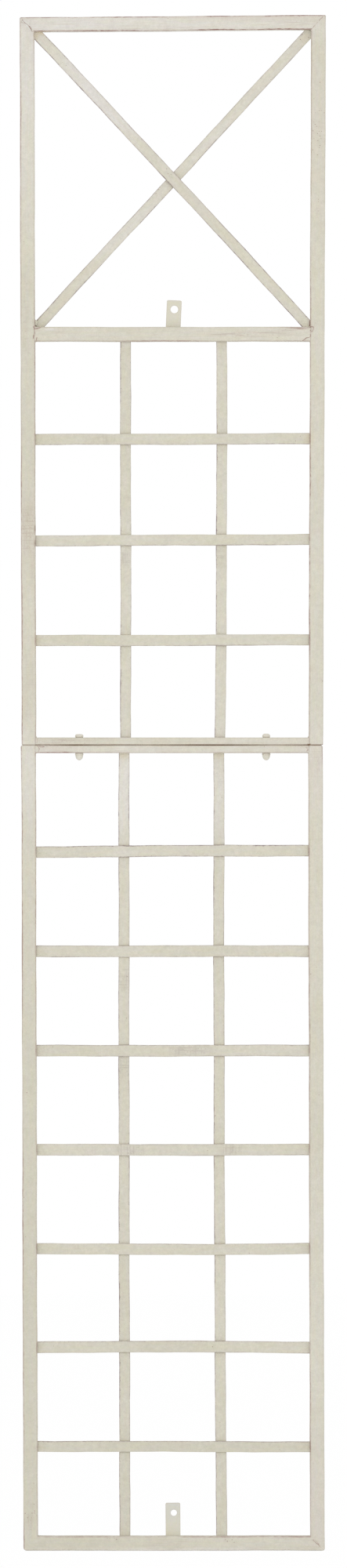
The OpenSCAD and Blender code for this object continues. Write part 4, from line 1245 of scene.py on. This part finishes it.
def makeTurned(name, vertices, quads, edge, body, seat):
    mesh = bpy.data.meshes.new(name)
    mesh.from_pydata(vertices, [], quads)
    centre = (vertices[:, :2].min(0) + vertices[:, :2].max(0)) / 2
    angle = np.arctan2(vertices[:, 1] - centre[1], vertices[:, 0] - centre[0])
    none = np.zeros(len(vertices))
    putMaps(mesh, np.stack([angle * turnedRadius, vertices[:, 2], edge / mm, none + noWear / mm], 1)[quads.ravel()])
    grimeAndShade = seatShadow["strength"] * np.exp(-((vertices[:, 2] - seat) / seatShadow["reach"]) ** 2)
    putField(mesh, "marks", [none, none, grimeAndShade])
    putField(mesh, "tones", [none, none, none])
    putField(mesh, "edges", [none + otherWear, none, none])
    work = bmesh.new()
    work.from_mesh(mesh)
    bmesh.ops.remove_doubles(work, verts=work.verts, dist=1e-6)
    bmesh.ops.recalc_face_normals(work, faces=work.faces)
    work.to_mesh(mesh)
    work.free()
    piece = showPiece(name, mesh, paints["fastener"], turnedSharp)
    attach(piece, body)
    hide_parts(name)


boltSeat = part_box("upper_meeting_rail")[1].z - thinner["upper_meeting_rail"]
for name, x in zip(boltHeads, boltPlaces):
    makeTurned(name, *boltPiece(name, x, boltSeat), name, boltSeat)
print("bolts made")

# Cap nuts: rings from the bottom of the bore, up its wall, over the hexagon and round the dome to its pole
nutLook = {
    "flats": 10.0 * mm, "hexHeight": 2.9 * mm, "cornerLimit": 5.4 * mm, "chamfer": 0.7 * mm,
    "boreRadius": 3.1 * mm, "boreDepth": 6.0 * mm, "domeRadius": 5.0 * mm, "domeHeight": 6.5 * mm,
    "faceRadius": 4.9 * mm, "faceInset": 0.25 * mm,  # the face at the rail lies a little in from the hexagon
    "upperRim": (5.2 * mm, 0.2 * mm), "lowerRim": (5.15 * mm, 0.1 * mm),  # largest radius, distance from the face
    "sides": 72, "domeRings": 22,
    "rimEdges": np.array([0.5, 0.3, 2.0, 0.3, 0.5]) * mm,  # distances that the paint takes for the hexagon's edges
}


def nutPiece(x, seat):
    look = nutLook
    turn = np.linspace(0, 2 * np.pi, look["sides"], endpoint=False)
    hexagon = np.minimum(look["flats"] / 2 / np.cos(np.mod(turn, np.pi / 3) - np.pi / 6), look["cornerLimit"])
    circle, bore, foot = np.ones_like(turn), look["boreRadius"], -look["hexHeight"]
    rings = [(0 * circle, -look["boreDepth"]), (bore * circle, -look["boreDepth"]), (bore * circle, 0.0),
             (np.minimum(hexagon - look["faceInset"], look["faceRadius"]), 0.0),
             (np.minimum(hexagon, look["upperRim"][0]), -look["upperRim"][1]), (hexagon, -look["chamfer"]),
             (hexagon, foot / 2), (hexagon, foot + look["chamfer"]),
             (np.minimum(hexagon, look["lowerRim"][0]), foot + look["lowerRim"][1])]
    rings += [(look["domeRadius"] * math.cos(climb) * circle, foot - look["domeHeight"] * math.sin(climb))
              for climb in np.radians(np.linspace(0, 90, look["domeRings"]))]
    radius = np.stack([r for r, z in rings])
    z = np.array([z for r, z in rings])[:, None] + 0 * radius
    points = np.stack([x + radius * np.cos(turn), radius * np.sin(turn), seat + z], -1)
    row, column = gridQuads(*radius.shape)
    rowEdge = np.full(len(rings), noWear)
    rowEdge[4:9] = look["rimEdges"]
    return points.reshape(-1, 3), row * look["sides"] + column % look["sides"], np.repeat(rowEdge, look["sides"])


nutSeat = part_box("lower_meeting_rail")[0].z
for name, x in zip(("left_cap_nut", "right_cap_nut"), boltPlaces):
    makeTurned(name, *nutPiece(x, nutSeat), name, nutSeat)
print("cap nuts made")
